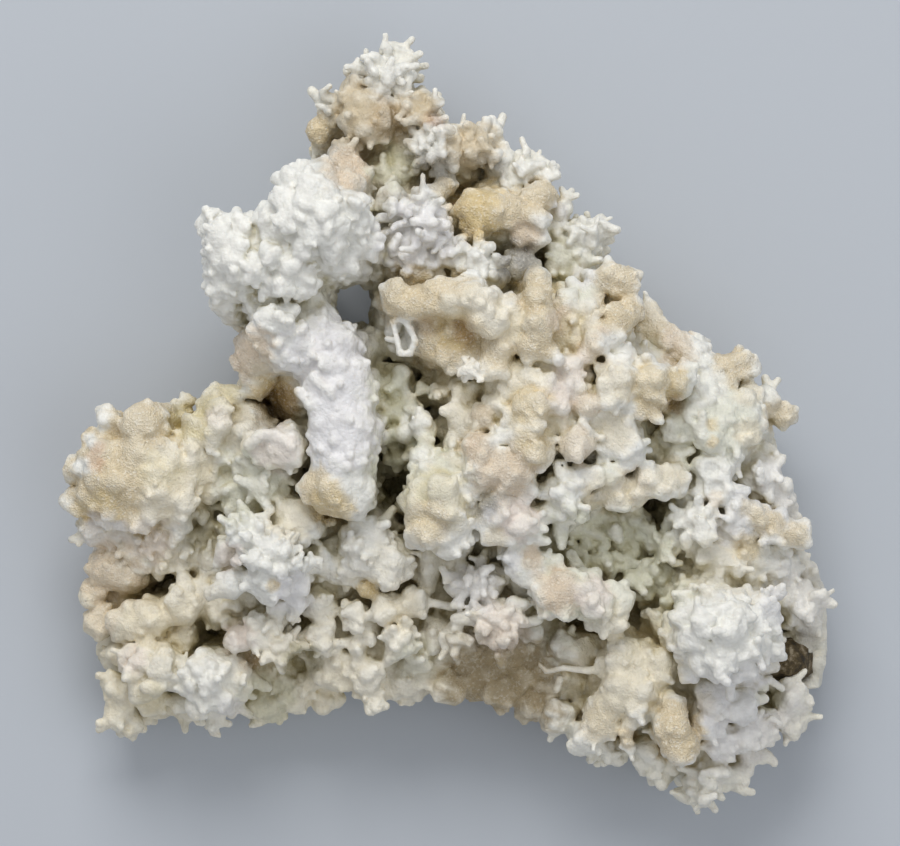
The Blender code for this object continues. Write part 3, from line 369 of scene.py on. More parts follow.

# Stains and painted light, as seen from above: centre, radius, tint and strength, painted in this order. The
# green and olive tints are painted shade in hollows and recesses, the wall tint is brownish crust with
# painted shade on its shaded faces, and the cool tint is painted cool skylight
STAINS_AND_PAINTED_LIGHT = [
    (-118, -84, 44, "cream", 0.55), (-60, -100, 26, "cream", 0.5), (-10, -84, 44, "cream", 0.45),
    (24, -104, 26, "wall", 0.9), (70, -60, 34, "green", 0.85), (-14, -14, 22, "green", 0.9),
    (-18, 12, 14, "green", 0.8), (74, -94, 24, "cream", 0.85), (104, 2, 24, "green", 0.6),
    (120, -114, 26, "cool", 0.8), (142, -70, 18, "cool", 0.6), (130, -26, 18, "cool", 0.6),
    (110, -52, 20, "cream", 0.5), (-78, -24, 18, "green", 0.7), (-24, 116, 26, "wall", 0.65),
    (24, 14, 34, "cream", 0.8), (58, 30, 22, "cream", 0.6), (50, 62, 14, "green", 0.6),
    (-128, -18, 26, "tan", 1.0), (-104, -16, 15, "cream", 0.9), (-119, 2, 11, "tan", 0.9),
    (-112, -18, 10, "moss", 0.5), (-98, 4, 11, "moss", 0.9), (-87, 11, 9, "moss", 0.8),
    (-139, -14, 4, "rust", 0.5), (-138, -8, 3, "rust", 0.6), (-137, -34, 10, "honey", 0.9),
    (-138, -37, 5, "brown", 0.4), (-113, -32, 10, "cream", 0.8), (-100, -26, 9, "cream", 0.8),
    (-136, 2, 3.5, "white", 1.0), (-141, -5, 3.0, "white", 0.9), (-145, -16, 4, "white", 1.0),
    (-82, 0, 10, "cream", 0.7), (-90, 4, 5, "pink", 0.6), (-136, -44, 10, "cool", 0.8),
    (-118, -46, 10, "pink", 0.7), (-121, -56, 4, "white", 1.0), (-95, -42, 9, "olive", 0.6),
    (-134, -60, 14, "peach", 0.8), (-120, -66, 6, "brown", 0.5), (-118, -77, 13, "cream", 0.8),
    (-138, -78, 8, "peach", 0.5), (-104, -72, 9, "cream", 0.6), (-93, -84, 7, "olive", 0.7),
    (-117, -108, 8, "moss", 0.4), (-125, -93, 6, "pink", 0.8), (-96, -104, 16, "white", 0.9),
    (-85, -113, 5, "cool", 0.7), (-70, -110, 12, "green", 0.7), (-72, -54, 18, "white", 1.0),
    (-60, -66, 9, "cool", 0.8), (-67.5, -63, 2.8, "tan", 0.9), (-85, -52, 6, "pink", 0.8),
    (-60, -36, 10, "cream", 0.6), (-82, -84, 7, "pink", 0.9), (-57, -94, 8, "olive", 0.7),
    (-77, -94, 4, "brown", 0.6), (-52, 32, 4.5, "tan", 0.6), (-48, 17, 3, "tan", 0.6),
    (-46, 26, 19, "cool", 0.9), (-40, -2, 17, "cool", 0.9), (-77, 29, 11, "peach", 0.9),
    (-72, 20, 6, "cream", 0.6), (-67, 11, 10, "honey", 1.0), (-66, 9, 8, "brown", 0.6),
    (-50, -24, 8, "tan", 0.9), (-44, -31, 9, "honey", 0.9), (-33, -24, 7, "white", 0.9),
    (-66, -8, 10, "pink", 0.7), (-30, 123, 13, "dun", 0.9), (-36, 133, 8, "dun", 0.7),
    (-12, 128, 9, "dun", 0.8), (-20, 142, 12, "white", 0.8), (-4, 121, 5, "rust", 0.3),
    (-22, 123, 8, "brown", 0.3), (-51, 119, 7, "tan", 1.0), (0, 96, 4.5, "tan", 0.9),
    (-37, 103, 9, "peach", 1.0), (-20, 104, 10, "green", 0.9), (-6, 113, 8, "white", 0.9),
    (12, 112, 11, "dun", 0.9), (-4, 102, 8, "grey", 0.5), (18, 102, 8, "grey", 0.4),
    (33, 104, 8, "white", 0.9), (14, 86, 13, "honey", 1.0), (28, 86, 9, "tan", 0.9), (40, 92, 8, "tan", 0.9),
    (33, 76, 7, "peach", 0.9), (46, 86, 4, "cool", 0.8), (30, 64, 11, "grey", 0.8),
    (-10, 74, 17, "cool", 0.8), (14, 64, 9, "white", 0.9), (56, 60, 5, "cool", 0.7),
    (60, 78, 9, "white", 0.9), (-14, 50, 13, "tan", 1.0), (4, 50, 12, "tan", 0.9), (16, 46, 11, "cream", 0.8),
    (-2, 34, 13, "tan", 1.0), (10, 32, 11, "tan", 0.9), (5, 38, 8, "honey", 0.9),
    (8, 37.5, 5.5, "brown", 0.6), (-8, 40, 4, "brown", 0.5), (-16, 36, 7, "white", 1.0),
    (3, 48, 4.5, "cream", 1.0), (37, 52, 10, "tan", 1.0), (37, 36, 10, "tan", 1.0), (47, 42, 6, "peach", 0.9),
    (22, 29, 7, "tan", 0.9), (26, 40, 7, "cream", 0.8), (70, 58, 9, "tan", 0.9), (70, 44, 9, "tan", 1.0),
    (60, 33, 8, "peach", 1.0), (54, 40, 7, "cream", 0.8), (69, 32, 7, "white", 0.9),
    (45.5, 26.5, 3.5, "white", 1.0), (11, 22.5, 6.5, "white", 0.7), (68, 17, 8, "cream", 1.0),
    (84, 16, 11, "honey", 0.8), (82, 7, 6, "tan", 0.8), (92, 18, 6, "honey", 0.9), (87, 27, 4, "white", 0.9),
    (46, 12, 8, "pink", 0.8), (51, 22, 8, "pink", 0.8), (57, 9, 6, "peach", 0.8), (34, 9, 9, "honey", 0.7),
    (34, -9, 9, "honey", 0.8), (16, 5, 5, "brown", 0.35), (14, -8, 7, "peach", 1.0),
    (24, -18, 13, "peach", 0.9), (23, -4, 5, "white", 0.8), (53, -7, 8, "peach", 0.8),
    (68, -2, 9, "cream", 0.8), (-11, 2, 6, "white", 0.7), (-8, -12, 5, "white", 0.7),
    (-20, -28, 8, "olive", 0.7), (-17, -8, 5, "olive", 0.6), (-3, -30, 14, "moss", 0.7),
    (-6, -38, 10, "tan", 0.8), (4, -42, 6, "grey", 0.35), (5, -46, 5, "white", 0.6),
    (17, -33, 6, "grey", 0.9), (19, -35, 3, "cool", 0.7), (30, -36, 9, "pink", 1.0),
    (21, -44, 5, "honey", 0.5), (35, -52, 5, "peach", 0.9), (46, -65, 10, "peach", 1.0),
    (60, -67, 8, "pink", 0.9), (-30, -65, 4.5, "honey", 1.0), (-18, -72, 10, "cream", 0.7),
    (13, -62, 12, "cool", 0.6), (23, -80, 11, "pink", 0.6), (27, -53, 5, "cool", 0.8),
    (-11, -93, 9, "green", 0.5), (-16, -100, 8, "grey", 0.2), (66, -117, 10, "cream", 0.8),
    (62, -118, 8, "tan", 0.4), (92, -114, 7, "tan", 0.9), (94, -124, 11, "tan", 1.0),
    (74, -124, 4.5, "tan", 0.8), (108, -82, 17, "white", 1.0), (128, -84, 9, "white", 0.8),
    (131, -109, 6, "green", 0.5), (147, -86, 6, "grey", 0.5), (104, -110, 5, "tan", 0.3),
    (116, -40, 8, "cool", 0.8), (121, -48, 6, "honey", 0.6), (128, -37, 6, "tan", 0.6),
    (126, -36, 3, "honey", 0.5), (141, -43, 6, "tan", 0.8), (132, -38.5, 5, "tan", 0.8),
    (122, -32.5, 4, "tan", 0.6), (108, -20, 9, "white", 0.9),
    (108, -29, 4, "peach", 0.5), (100, -38, 9, "white", 0.8), (135, 5, 7, "tan", 0.7),
    (122, 14, 6, "tan", 0.4), (116, 25, 9, "tan", 0.9), (127, 22, 4, "white", 0.9), (94, 33, 9, "peach", 0.9),
    (104, 34, 6, "white", 1.0), (83, 43, 8, "tan", 0.7), (106, 16, 8, "white", 0.7),
    (107, 1, 2.5, "honey", 0.6), (107, -6, 2.5, "honey", 0.7), (92, 9, 4, "brown", 0.5),
    (122, -3, 6, "cream", 0.8), (62, -26, 8, "cream", 1.0), (76, -24, 9, "tan", 0.6),
    (90, -20, 8, "cream", 0.9), (66, -18, 5, "green", 0.4),
]

# How a skin is covered, in steps. Each step's growths have a spacing, a least and greatest radius, how far
# the least and greatest stand out, their upward lean, the share left out, and how widely they merge.
SKINS = {
    "popcorn": [(9.5, 4.2, 6.2, 0.5, 3.2, 0.1, 0.1, 2.0), (5.0, 1.9, 2.8, 1.0, 3.0, 0.15, 0.2, 0.8)],
    "lobes": [
        (8.5, 3.4, 5.2, 0.5, 3.4, 0.2, 0.1, 1.6),
        (4.8, 1.7, 2.8, 0.6, 2.4, 0.15, 0.25, 0.9),
        (6.0, 1.7, 2.3, 2.2, 3.9, -0.05, 0.74, 1.2),
    ],
    "spiky": [
        (8.0, 3.0, 4.6, 0.5, 3.4, 0.2, 0.1, 1.4),
        (4.6, 1.6, 2.6, 0.6, 2.4, 0.15, 0.2, 0.9),
        (5.5, 1.6, 2.2, 2.2, 4.4, 0.0, 0.6, 1.2),
    ],
    "knobby": [(9.0, 3.6, 6.0, 0.2, 3.2, 0.2, 0.2, 1.6), (5.0, 1.7, 2.8, 0.5, 2.6, 0.15, 0.35, 0.8)],
    "smooth": [(8.5, 3.6, 5.6, 0.8, 7.0, 0.2, 0.2, 2.4), (4.8, 1.7, 3.0, 0.2, 4.0, 0.2, 0.35, 1.6)],
}

# Thickets of stalks that fill the wider gaps: middle, half sizes, lowest and highest point, and how many
THICKETS = [
    (62, -46, 20, 12, 42, 60, 44), (-18, 4, 11, 17, 52, 72, 20), (4, 14, 8, 5, 66, 80, 6),
    (86, -62, 12, 9, 44, 60, 12), (-92, -46, 10, 7, 38, 52, 9), (-20, 62, 8, 6, 56, 72, 7),
    (50, 70, 9, 9, 40, 58, 9),
]

# Painted shade: the share of red, green and blue light that the cluster keeps low down and in its hollows
LOW_SHADE_COLOUR = np.array((0.93, 0.87, 0.72))
HOLLOW_SHADE_COLOUR = np.array((0.68, 0.62, 0.42))

# The regions: their growths, their cover and how widely their growths merge
REGIONS = {
    "left_tan_lobe": (LEFT_TAN_LOBE, "smooth", 3.6),
    "left_middle": (LEFT_MIDDLE, "spiky", 2.8),
    "lower_left": (LOWER_LEFT, "lobes", 2.8),
    "white_star": (WHITE_STAR, "lobes", 2.8),
    "popcorn_head": (POPCORN_HEAD, "popcorn", 2.8),
    "arm": (ARM, "knobby", 2.8),
    "spire": (SPIRE, "spiky", 2.8),
    "upper_middle": (UPPER_MIDDLE, "lobes", 2.8),
    "tan_ridge": (TAN_RIDGE, "smooth", 3.0),
    "hanging_lobes": (HANGING_LOBES, "smooth", 3.6),
    "lower_middle": (LOWER_MIDDLE, "lobes", 2.8),
    "tan_bars": (TAN_BARS, "smooth", 3.0),
    "right_flank": (RIGHT_FLANK, "lobes", 2.8),
    "lower_right": (LOWER_RIGHT, "lobes", 2.8),
}


class Field:
    """Signed distance to a growth on a grid, in millimetres and negative inside."""

    def __init__(self, low, high, step=STEP):
        self.step = step
        self.low = np.floor(np.asarray(low, float) / step) * step
        self.shape = np.ceil((np.asarray(high) - self.low) / step).astype(int) + 1
        self.values = np.full(self.shape, FAR, np.float32)
        self.axes = [(self.low[i] + step * np.arange(n)).astype(np.float32) for i, n in enumerate(self.shape)]

    def window(self, low, high):
        """The part of the grid between two corners, and its coordinates along each axis."""
        first = np.floor((np.asarray(low) - self.low) / self.step).astype(int)
        last = np.ceil((np.asarray(high) - self.low) / self.step).astype(int) + 1
        first = np.clip(first, 0, self.shape)
        last = np.clip(last, first, self.shape)
        where = tuple(slice(a, b) for a, b in zip(first, last))
        x, y, z = (axis[s] for axis, s in zip(self.axes, where))
        return where, (x[:, None, None], y[None, :, None], z[None, None, :])

    def place_of(self, other):
        """Where another grid with the same step lies in this one."""
        first = np.rint((other.low - self.low) / self.step).astype(int)
        return tuple(slice(a, a + n) for a, n in zip(first, other.shape))

    def join(self, where, distance, soft):
        """Adds a shape, with a fillet of the given width."""
        old = self.values[where]
        overlap = np.maximum(soft - np.abs(old - distance), 0)
        self.values[where] = np.minimum(old, distance) - overlap * overlap / (4 * soft)

    def take(self, where, distance, soft):
        """Takes a shape away, with a rounded lip."""
        old = self.values[where]
        overlap = np.maximum(soft - np.abs(old + distance), 0)
        self.values[where] = np.maximum(old, -distance) + overlap * overlap / (4 * soft)

    def limb(self, start, end, soft=BLEND, grow=0.0, take=False):
        """A round limb between two points with radii. A knob starts and ends at the same point."""
        start = np.asarray(start, float)
        end = np.asarray(end, float)
        reach = max(start[3], end[3]) + grow + soft + 2 * self.step
        low = np.minimum(start[:3], end[:3]) - reach
        high = np.maximum(start[:3], end[:3]) + reach
        where, (x, y, z) = self.window(low, high)
        run = (end - start).astype(np.float32)
        x = x - np.float32(start[0])
        y = y - np.float32(start[1])
        z = z - np.float32(start[2])
        along = (x * run[0] + y * run[1] + z * run[2]) / max(float(run[:3] @ run[:3]), 1e-6)
        along = np.clip(along, 0, 1)
        distance = np.sqrt((x - along * run[0]) ** 2 + (y - along * run[1]) ** 2 + (z - along * run[2]) ** 2)
        distance -= np.float32(start[3] + grow) + along * run[3]
        (self.take if take else self.join)(where, distance, soft)

    def lump(self, shape, soft=BLEND, grow=0.0, take=False):
        """An ellipsoid: centre and half sizes."""
        centre = np.asarray(shape[:3], float)
        half = np.asarray(shape[3:], float) + grow
        reach = half + soft + 2 * self.step
        where, (x, y, z) = self.window(centre - reach, centre + reach)
        x = x - np.float32(centre[0])
        y = y - np.float32(centre[1])
        z = z - np.float32(centre[2])
        ratio = np.sqrt((x / half[0]) ** 2 + (y / half[1]) ** 2 + (z / half[2]) ** 2)
        slope = np.sqrt((x / half[0] ** 2) ** 2 + (y / half[1] ** 2) ** 2 + (z / half[2] ** 2) ** 2)
        distance = (ratio * (ratio - 1) / np.maximum(slope, 1e-4)).astype(np.float32)
        (self.take if take else self.join)(where, distance, soft)

    def roughen(self, wavelength, height, draw):
        """Smooth bumps of one wavelength all over."""
        counts = np.ceil(self.shape * self.step / wavelength).astype(int) + 2
        bumps = draw.uniform(-1, 1, counts).astype(np.float32)
        for i in range(3):
            place = np.arange(self.shape[i]) * self.step / wavelength
            whole = place.astype(int)
            part = place - whole
            part = (part * part * (3 - 2 * part)).astype(np.float32)
            bumps = np.moveaxis(bumps, i, -1)
            bumps = bumps[..., whole] * (1 - part) + bumps[..., whole + 1] * part
            bumps = np.moveaxis(bumps, -1, i)
        self.values += height * bumps

    def at(self, points):
        """The distance at the grid point nearest each point."""
        index = np.rint((points - self.low) / self.step).astype(int)
        index = np.clip(index, 0, self.shape - 1)
        return self.values[index[:, 0], index[:, 1], index[:, 2]]

    def surface_points(self, spacing, draw):
        """Scattered surface points, about one to each cell of the spacing, with the way out of each."""
        inner = self.values[1:-1, 1:-1, 1:-1]
        index = np.argwhere(np.abs(inner) < 0.5 * self.step) + 1
        index = index[draw.permutation(len(index))]
        cells = np.floor(index * self.step / spacing + draw.uniform(0, 1, 3)).astype(int)
        _, first = np.unique(cells, axis=0, return_index=True)
        index = index[np.sort(first)]
        i, j, k = index.T
        out = np.stack([
            self.values[i + 1, j, k] - self.values[i - 1, j, k],
            self.values[i, j + 1, k] - self.values[i, j - 1, k],
            self.values[i, j, k + 1] - self.values[i, j, k - 1],
        ], axis=1)
        out /= np.maximum(np.linalg.norm(out, axis=1, keepdims=True), 1e-6)
        return self.low + index * self.step, out


def smooth_share(value, start, end):
    """0 below start and 1 above end, with a smooth turn between."""
    share = np.clip((value - start) / (end - start), 0, 1)
    return share * share * (3 - 2 * share)


def waves(points, wavelength, phase):
    """A cheap smooth disorder between -1 and 1, for ragged edges of stains."""
    turned = points / wavelength
    return (
        np.sin(turned[:, 0] * 2.3 + np.sin(turned[:, 1] * 3.1 + phase) * 1.7)
        * np.sin(turned[:, 1] * 2.7 + np.sin(turned[:, 2] * 2.9 + phase * 2) * 1.7)
    )


def linear(colour):
    """A display colour from 0 to 255 as scene light."""
    share = np.asarray(colour, float) / 255
    return np.where(share <= 0.04045, share / 12.92, ((share + 0.055) / 1.055) ** 2.4)


def tinted(points):
    """Colour and sugariness of each point, from the stains and the painted shade and skylight among them."""
    colour = np.tile(linear(TINTS["white"][0]), (len(points), 1))
    grain = np.full(len(points), TINTS["white"][1])
    for number, (x, y, radius, tint, strength) in enumerate(STAINS_AND_PAINTED_LIGHT):
        near = np.flatnonzero(np.abs(points[:, :2] - (x, y)).max(axis=1) < 1.6 * radius)
        here = points[near]
        away = np.hypot(here[:, 0] - x, here[:, 1] - y) / radius + 0.22 * waves(here, 4.5, number)
        share = strength * (1 - smooth_share(away, 0.65, 1.25))
        colour[near] += share[:, None] * (linear(TINTS[tint][0]) - colour[near])
        grain[near] += share * (TINTS[tint][1] - grain[near])
    return colour, grain


def stem_of(x, y, z, radius):
    """The limb that carries a growth down to the crust, leaning in towards the middle of the cluster."""
    inward = 1 - 0.12 * min(1.0, z / 60)
    return (x, y, z, radius * STEM_SHARE), (x * inward, y * inward, max(10.0, z - STEM_DEPTH), radius * 1.05)


def add_growths(field, growths, soft):
    """The region's knobs and limbs, and the stems that carry them."""
    for points in growths:
        for start, end in zip(points, points[1:] or points):
            field.limb(start, end, soft, grow=SHRINK if start[3] > STEM_FROM_RADIUS else 0.0)
        for point in points:
            if point[3] >= STEM_FROM_RADIUS:
                field.limb(*stem_of(*point), soft, grow=SHRINK)


def add_tuft(field, tuft, draw):
    """Short blunt lobes that spread from a ball over its upper side, each with buds on its sides."""
    x, y, z, radius, fingers, reach = tuft
    centre = np.array((x, y, z), float)
    fingers = int(fingers * 1.6)
    for i in range(fingers):
        height = 1 - 1.25 * (i + 0.5) / fingers
        turn = GOLDEN_TURN * i + draw.uniform(-0.4, 0.4)
        ring = math.sqrt(max(0.0, 1 - height * height))
        way = np.array((ring * math.cos(turn), ring * math.sin(turn), height))
        root = centre + way * radius * 0.5
        length = radius + reach * draw.uniform(0.0, 0.75) * (0.45 + 0.55 * ring)
        tip = centre + way * length + draw.uniform(-1.5, 1.5, 3)
        thick = draw.uniform(1.8, 2.5)
        field.limb((*root, thick * 1.3), (*tip, thick), FINE_BLEND)
        for _ in range(draw.integers(0, 2)):
            bud = root + (tip - root) * draw.uniform(0.5, 0.95)
            side = np.cross(way, draw.uniform(-1, 1, 3))
            side /= max(np.linalg.norm(side), 1e-3)
            bud_tip = bud + side * thick * 1.4 + way * 0.6
            field.limb((*bud, thick * 0.8), (*bud_tip, thick * 0.75), FINE_BLEND)


def add_thicket(field, thicket, draw):
    """Knobbed stalks side by side, each with a bud near its tip."""
    x, y, half_x, half_y, low, high, stalks = thicket
    for i in range(stalks):
        ring = math.sqrt((i + 0.5) / stalks)
        turn = GOLDEN_TURN * i
        foot = np.array((x + half_x * ring * math.cos(turn), y + half_y * ring * math.sin(turn), low))
        tip = foot + (*draw.uniform(-2.5, 2.5, 2), (high - low) * draw.uniform(0.55, 1.0))
        thick = draw.uniform(2.2, 3.8)
        field.limb((*foot, thick * 1.2), (*tip, thick), FINE_BLEND)
        bud = tip + draw.uniform(-1, 1, 3) * thick * 1.2
        field.limb((*bud, thick * 0.7), (*bud, thick * 0.7), FINE_BLEND)


def add_ring(field, ring):
    """A raised ring that lies flat, with a shallow dish inside."""
    x, y, z, radius, thickness = ring
    turns = [2 * math.pi * i / 12 for i in range(13)]
    points = [(x + radius * math.cos(turn), y + radius * math.sin(turn), z, thickness) for turn in turns]
    for start, end in zip(points, points[1:]):
        field.limb(start, end, FINE_BLEND)
    field.lump((x, y, z + 1.5, radius - 1, radius - 1, 2), soft=1.0, take=True)


def add_flower(field):
    """Thin petals that spread from one point, each with a side tip."""
    x, y, z, reach, thickness = FLOWER
    for i in range(PETALS):
        turn = 2 * math.pi * i / PETALS
        far = reach * (0.75 + 0.25 * math.cos(2.3 * i))
        height = z + 2.5 * math.sin(1.7 * i)
        tip = (x + far * math.cos(turn), y + far * math.sin(turn), height, thickness * 0.7)
        side_x = tip[0] - 2.2 * math.cos(turn + 0.9)
        side_y = tip[1] - 2.2 * math.sin(turn + 0.9)
        side = (side_x, side_y, height, thickness * 0.7)
        bud_x = side_x + 2.4 * math.cos(turn + 1.1)
        bud_y = side_y + 2.4 * math.sin(turn + 1.1)
        field.limb((x, y, z, thickness * 1.4), tip, 0.8)
        field.limb(side, (bud_x, bud_y, height, thickness * 0.6), 0.8)
    field.limb((x, y, z, thickness * 1.5), (x, y, z - 14, thickness * 2.5), FINE_BLEND)


def add_popcorn(field, clump, draw):
    """Round lumps all over the upper side of a clump."""
    x, y, z, radius, lumps, lump_radius = clump
    centre = np.array((x, y, z), float)
    for i in range(lumps):
        height = 1 - 1.1 * (i + 0.5) / lumps
        turn = GOLDEN_TURN * i
        ring = math.sqrt(1 - height * height)
        way = np.array((ring * math.cos(turn), ring * math.sin(turn), height))
        size = lump_radius * draw.uniform(0.75, 1.1)
        field.limb((*centre, size), (*(centre + way * (radius - 1.5)), size), 1.8)


def add_cover(field, cover, draw):
    """Covers the surface with lobes, then smaller knobs, then fingers, all smaller where it is thin."""
    for spacing, least, greatest, low, high, lean, left_out, soft in SKINS[cover]:
        points, out = field.surface_points(spacing, draw)
        _, grain = tinted(points)
        size, height, chance = draw.uniform(size=(3, len(points)))
        finger = low > 2
        radius = least + (greatest - least) * size
        radius = np.minimum(radius, -field.at(points - out * radius[:, None]))
        stand = (low + (high - low) * height) * (1 - 0.55 * grain)
        kept = (out[:, 2] > -0.4) & (points[:, 2] > 4) & (radius > 0.5 * least)
        kept &= chance > left_out + (0.7 * grain if finger else 0)
        if finger:
            kept &= out[:, 2] < 0.85
        way = out + draw.normal(0, 0.14, out.shape) + (0, 0, lean)
        way /= np.linalg.norm(way, axis=1, keepdims=True)
        for i in np.flatnonzero(kept):
            r = radius[i]
            root = points[i] - way[i] * r * (0.3 if finger else 1)
            tip = points[i] + way[i] * (stand[i] - (0 if finger else r))
            field.limb((*root, r), (*tip, r), soft)


def rim_knobs(whole, draw):
    """Small knobs on the wall of the through hole, which make its outline ragged."""
    x, y, _, radius = HOLE[0]
    for i in range(RIM_KNOBS):
        turn = GOLDEN_TURN * i
        way = np.array((math.cos(turn), math.sin(turn), 0))
        wall = np.array((x, y, draw.uniform(25, 95))) + way * radius
        if whole.at((wall + 3 * way)[None, :])[0] < -1:
            knob = (*wall, draw.uniform(1.2, 2.8))
            whole.limb(knob, knob, 1.2)


def boxed(shapes, rim):
    """Lowest and highest corner round some shapes, down to just under the floor."""
    low = (shapes[:, :3] - shapes[:, 3:]).min(axis=0) - rim
    high = (shapes[:, :3] + shapes[:, 3:]).max(axis=0) + rim
    low[2] = -3
    return low, high


def nearest_region(centre):
    """The region whose growth is nearest a point."""
    best = {}
    for name, (growths, _, _) in REGIONS.items():
        knobs = [point for points in growths for point in points]
        best[name] = min(math.dist(centre[:3], knob[:3]) - knob[3] for knob in knobs)
    return min(best, key=best.get)


class Region:
    """One region of the cluster with the crust behind it, in its plain form and with all its cover."""

    def __init__(self, name, seed):
        growths, cover, soft = REGIONS[name]
        draw = np.random.default_rng(seed)
        crust = [lump for lump in CRUST if nearest_region(lump) == name]
        balls = [(*point[:3], *point[3:] * 3) for points in growths for point in points]
        self.field = Field(*boxed(np.array(balls + crust, float), 14))
        for lump in crust:
            self.field.lump(lump, 4.0, grow=2 * SHRINK)
        add_growths(self.field, growths, soft)
        for tuft in TUFTS:
            if nearest_region(tuft) == name:
                add_tuft(self.field, tuft, draw)
        for clump in POPCORN:
            if nearest_region(clump) == name:
                add_popcorn(self.field, clump, draw)
        for hollow in HOLLOWS:
            self.field.lump(hollow, take=True)
        for thicket in THICKETS:
            if nearest_region((*thicket[:2], thicket[5])) == name:
                add_thicket(self.field, thicket, draw)
        self.plain = self.field.values.copy()
        self.field.roughen(9.0, 0.8, draw)
        self.field.roughen(4.0, 0.35, draw)
        add_cover(self.field, cover, draw)
        for ring in RINGS:
            if nearest_region(ring) == name:
                add_ring(self.field, ring)
        for detail in DETAILS:
            if nearest_region(detail[0]) == name:
                for start, end in zip(detail, detail[1:]):
                    self.field.limb(start, end, FINE_BLEND)
        if nearest_region(FLOWER) == name:
            add_flower(self.field)


class Cluster:
    """All the regions joined."""

    def __init__(self):
        low, high = (np.array(corner) / MM for corner in cad_box)
        low[2] = 0
        self.whole = Field(low - 32, high + 32)
        self.nearest = np.full(self.whole.shape, FAR, np.float32)
        self.second = np.full(self.whole.shape, FAR, np.float32)
        self.regions = {name: Region(name, seed) for seed, name in enumerate(REGIONS)}
        for region in self.regions.values():
            where = self.whole.place_of(region.field)
            self.whole.join(where, region.field.values, JOINT)
            nearest = self.nearest[where]
            second = self.second[where]
            self.second[where] = np.minimum(second, np.maximum(nearest, region.plain))
            self.nearest[where] = np.minimum(nearest, region.plain)
        self.whole.limb(*HOLE, take=True)
        rim_knobs(self.whole, np.random.default_rng(7))
        self.whole.values = np.maximum(self.whole.values, -self.whole.axes[2][None, None, :])

    def skin_of(self, name):
        """The joined surface where one region is nearest, closed off inside its neighbours."""
        region = self.regions[name]
        where = self.whole.place_of(region.field)
        nearest = self.nearest[where]
        rival = np.where(region.plain <= nearest, self.second[where], nearest)
        past = np.maximum(region.plain - rival, 0)
        values = np.maximum(self.whole.values[where], -DEPTH) + OVERLAP_SLOPE * past
        values += CLOSING_SLOPE * np.maximum(past - OVERLAP, 0)
        grid = openvdb.FloatGrid(FAR)
        grid.copyFromArray(np.ascontiguousarray(values, dtype=np.float32))
        grid.transform = openvdb.createLinearTransform(STEP)
        points, triangles, quads = grid.convertToPolygons(isovalue=0.0, adaptivity=ADAPTIVITY)
        return self.rooted(points + region.field.low, triangles, quads)

    def rooted(self, points, triangles, quads):
        """The skin without those parts of it that reach down to no growth."""
        part = parts_of(len(points), (triangles, quads))
        lowest = np.full(len(points), FAR)
        np.minimum.at(lowest, part, self.proud(points))
        kept = lowest[part] < ROOT_GAP
        number = np.cumsum(kept) - 1
        triangles = number[triangles[kept[triangles[:, 0]]]]
        quads = number[quads[kept[quads[:, 0]]]]
        return points[kept], triangles, quads

    def proud(self, points):
        """How far each point stands out from the plain growths."""
        index = np.rint((points - self.whole.low) / STEP).astype(int)
        index = np.clip(index, 0, np.array(self.whole.shape) - 1)
        return self.nearest[index[:, 0], index[:, 1], index[:, 2]]

    def crowding(self, points, reach):
        """How much of the space round each point is solid."""
        coarse = 3
        solid = (self.whole.values[::coarse, ::coarse, ::coarse] < 0).astype(np.float32)
        width = max(1, round(reach / (coarse * STEP)))
        for _ in range(2):
            for axis in range(3):
                ends = [(width + 1, width) if i == axis else (0, 0) for i in range(3)]
                total = np.cumsum(np.pad(solid, ends), axis=axis)
                count = solid.shape[axis]
                far = np.take(total, np.arange(2 * width + 1, 2 * width + 1 + count), axis=axis)
                near = np.take(total, np.arange(count), axis=axis)
                solid = (far - near) / (2 * width + 1)
        index = np.rint((points - self.whole.low) / (coarse * STEP)).astype(int)
        index = np.clip(index, 0, np.array(solid.shape) - 1)
        return solid[index[:, 0], index[:, 1], index[:, 2]]


def parts_of(count, faces):
    """For each point, the lowest point number in its connected part."""
    part = np.arange(count)
    while True:
        lowest = part.copy()
        for corners in faces:
            least = part[corners].min(axis=1)
            for column in corners.T:
                np.minimum.at(lowest, column, least)
        lowest = lowest[lowest]
        if np.array_equal(lowest, part):
            return part
        part = lowest


def add_mesh(name, points, triangles, quads):
    """A smooth mesh from arrays, in metres."""
    mesh = bpy.data.meshes.new(name)
    corners = np.concatenate([triangles.ravel(), quads.ravel()]).astype(np.int32)
    ends = np.cumsum([3] * len(triangles) + [4] * len(quads))
    mesh.vertices.add(len(points))
    mesh.vertices.foreach_set("co", (points * MM).astype(np.float32).ravel())
    mesh.loops.add(len(corners))
    mesh.loops.foreach_set("vertex_index", corners)
    mesh.polygons.add(len(ends))
    mesh.polygons.foreach_set("loop_start", np.concatenate([[0], ends[:-1]]).astype(np.int32))
    mesh.update(calc_edges=True)
    mesh.validate()
    mesh.shade_smooth()
    obj = bpy.data.objects.new(name, mesh)
    bpy.context.scene.collection.objects.link(obj)
    return obj


def normals_of(mesh):
    """The way out at each point of a mesh."""
    out = np.empty(3 * len(mesh.vertices), np.float32)
    mesh.vertex_normals.foreach_get("vector", out)
    return out.reshape(-1, 3)


def add_node(tree, kind, links=(), **inputs):
    """A shader node with some of its inputs set, and others fed by another node's output."""
    node = tree.nodes.new(kind)
    for name, value in inputs.items():
        node.inputs[name.replace("_", " ")].default_value = value
    for name, output in links:
        tree.links.new(output, node.inputs[name])
    return node


def mesh_value(tree, name, output):
    """A value that the mesh holds at each point."""
    node = tree.nodes.new("ShaderNodeAttribute")
    node.attribute_name = name
    return node.outputs[output]


def new_material(name):
    """A new material, with its nodes, its shader and the place on the object that its textures follow."""
    material = bpy.data.materials.new(name)
    material.use_nodes = True
    tree = material.node_tree
    place = tree.nodes.new("ShaderNodeTexCoord").outputs["Object"]
    return material, tree, tree.nodes["Principled BSDF"], [("Vector", place)]


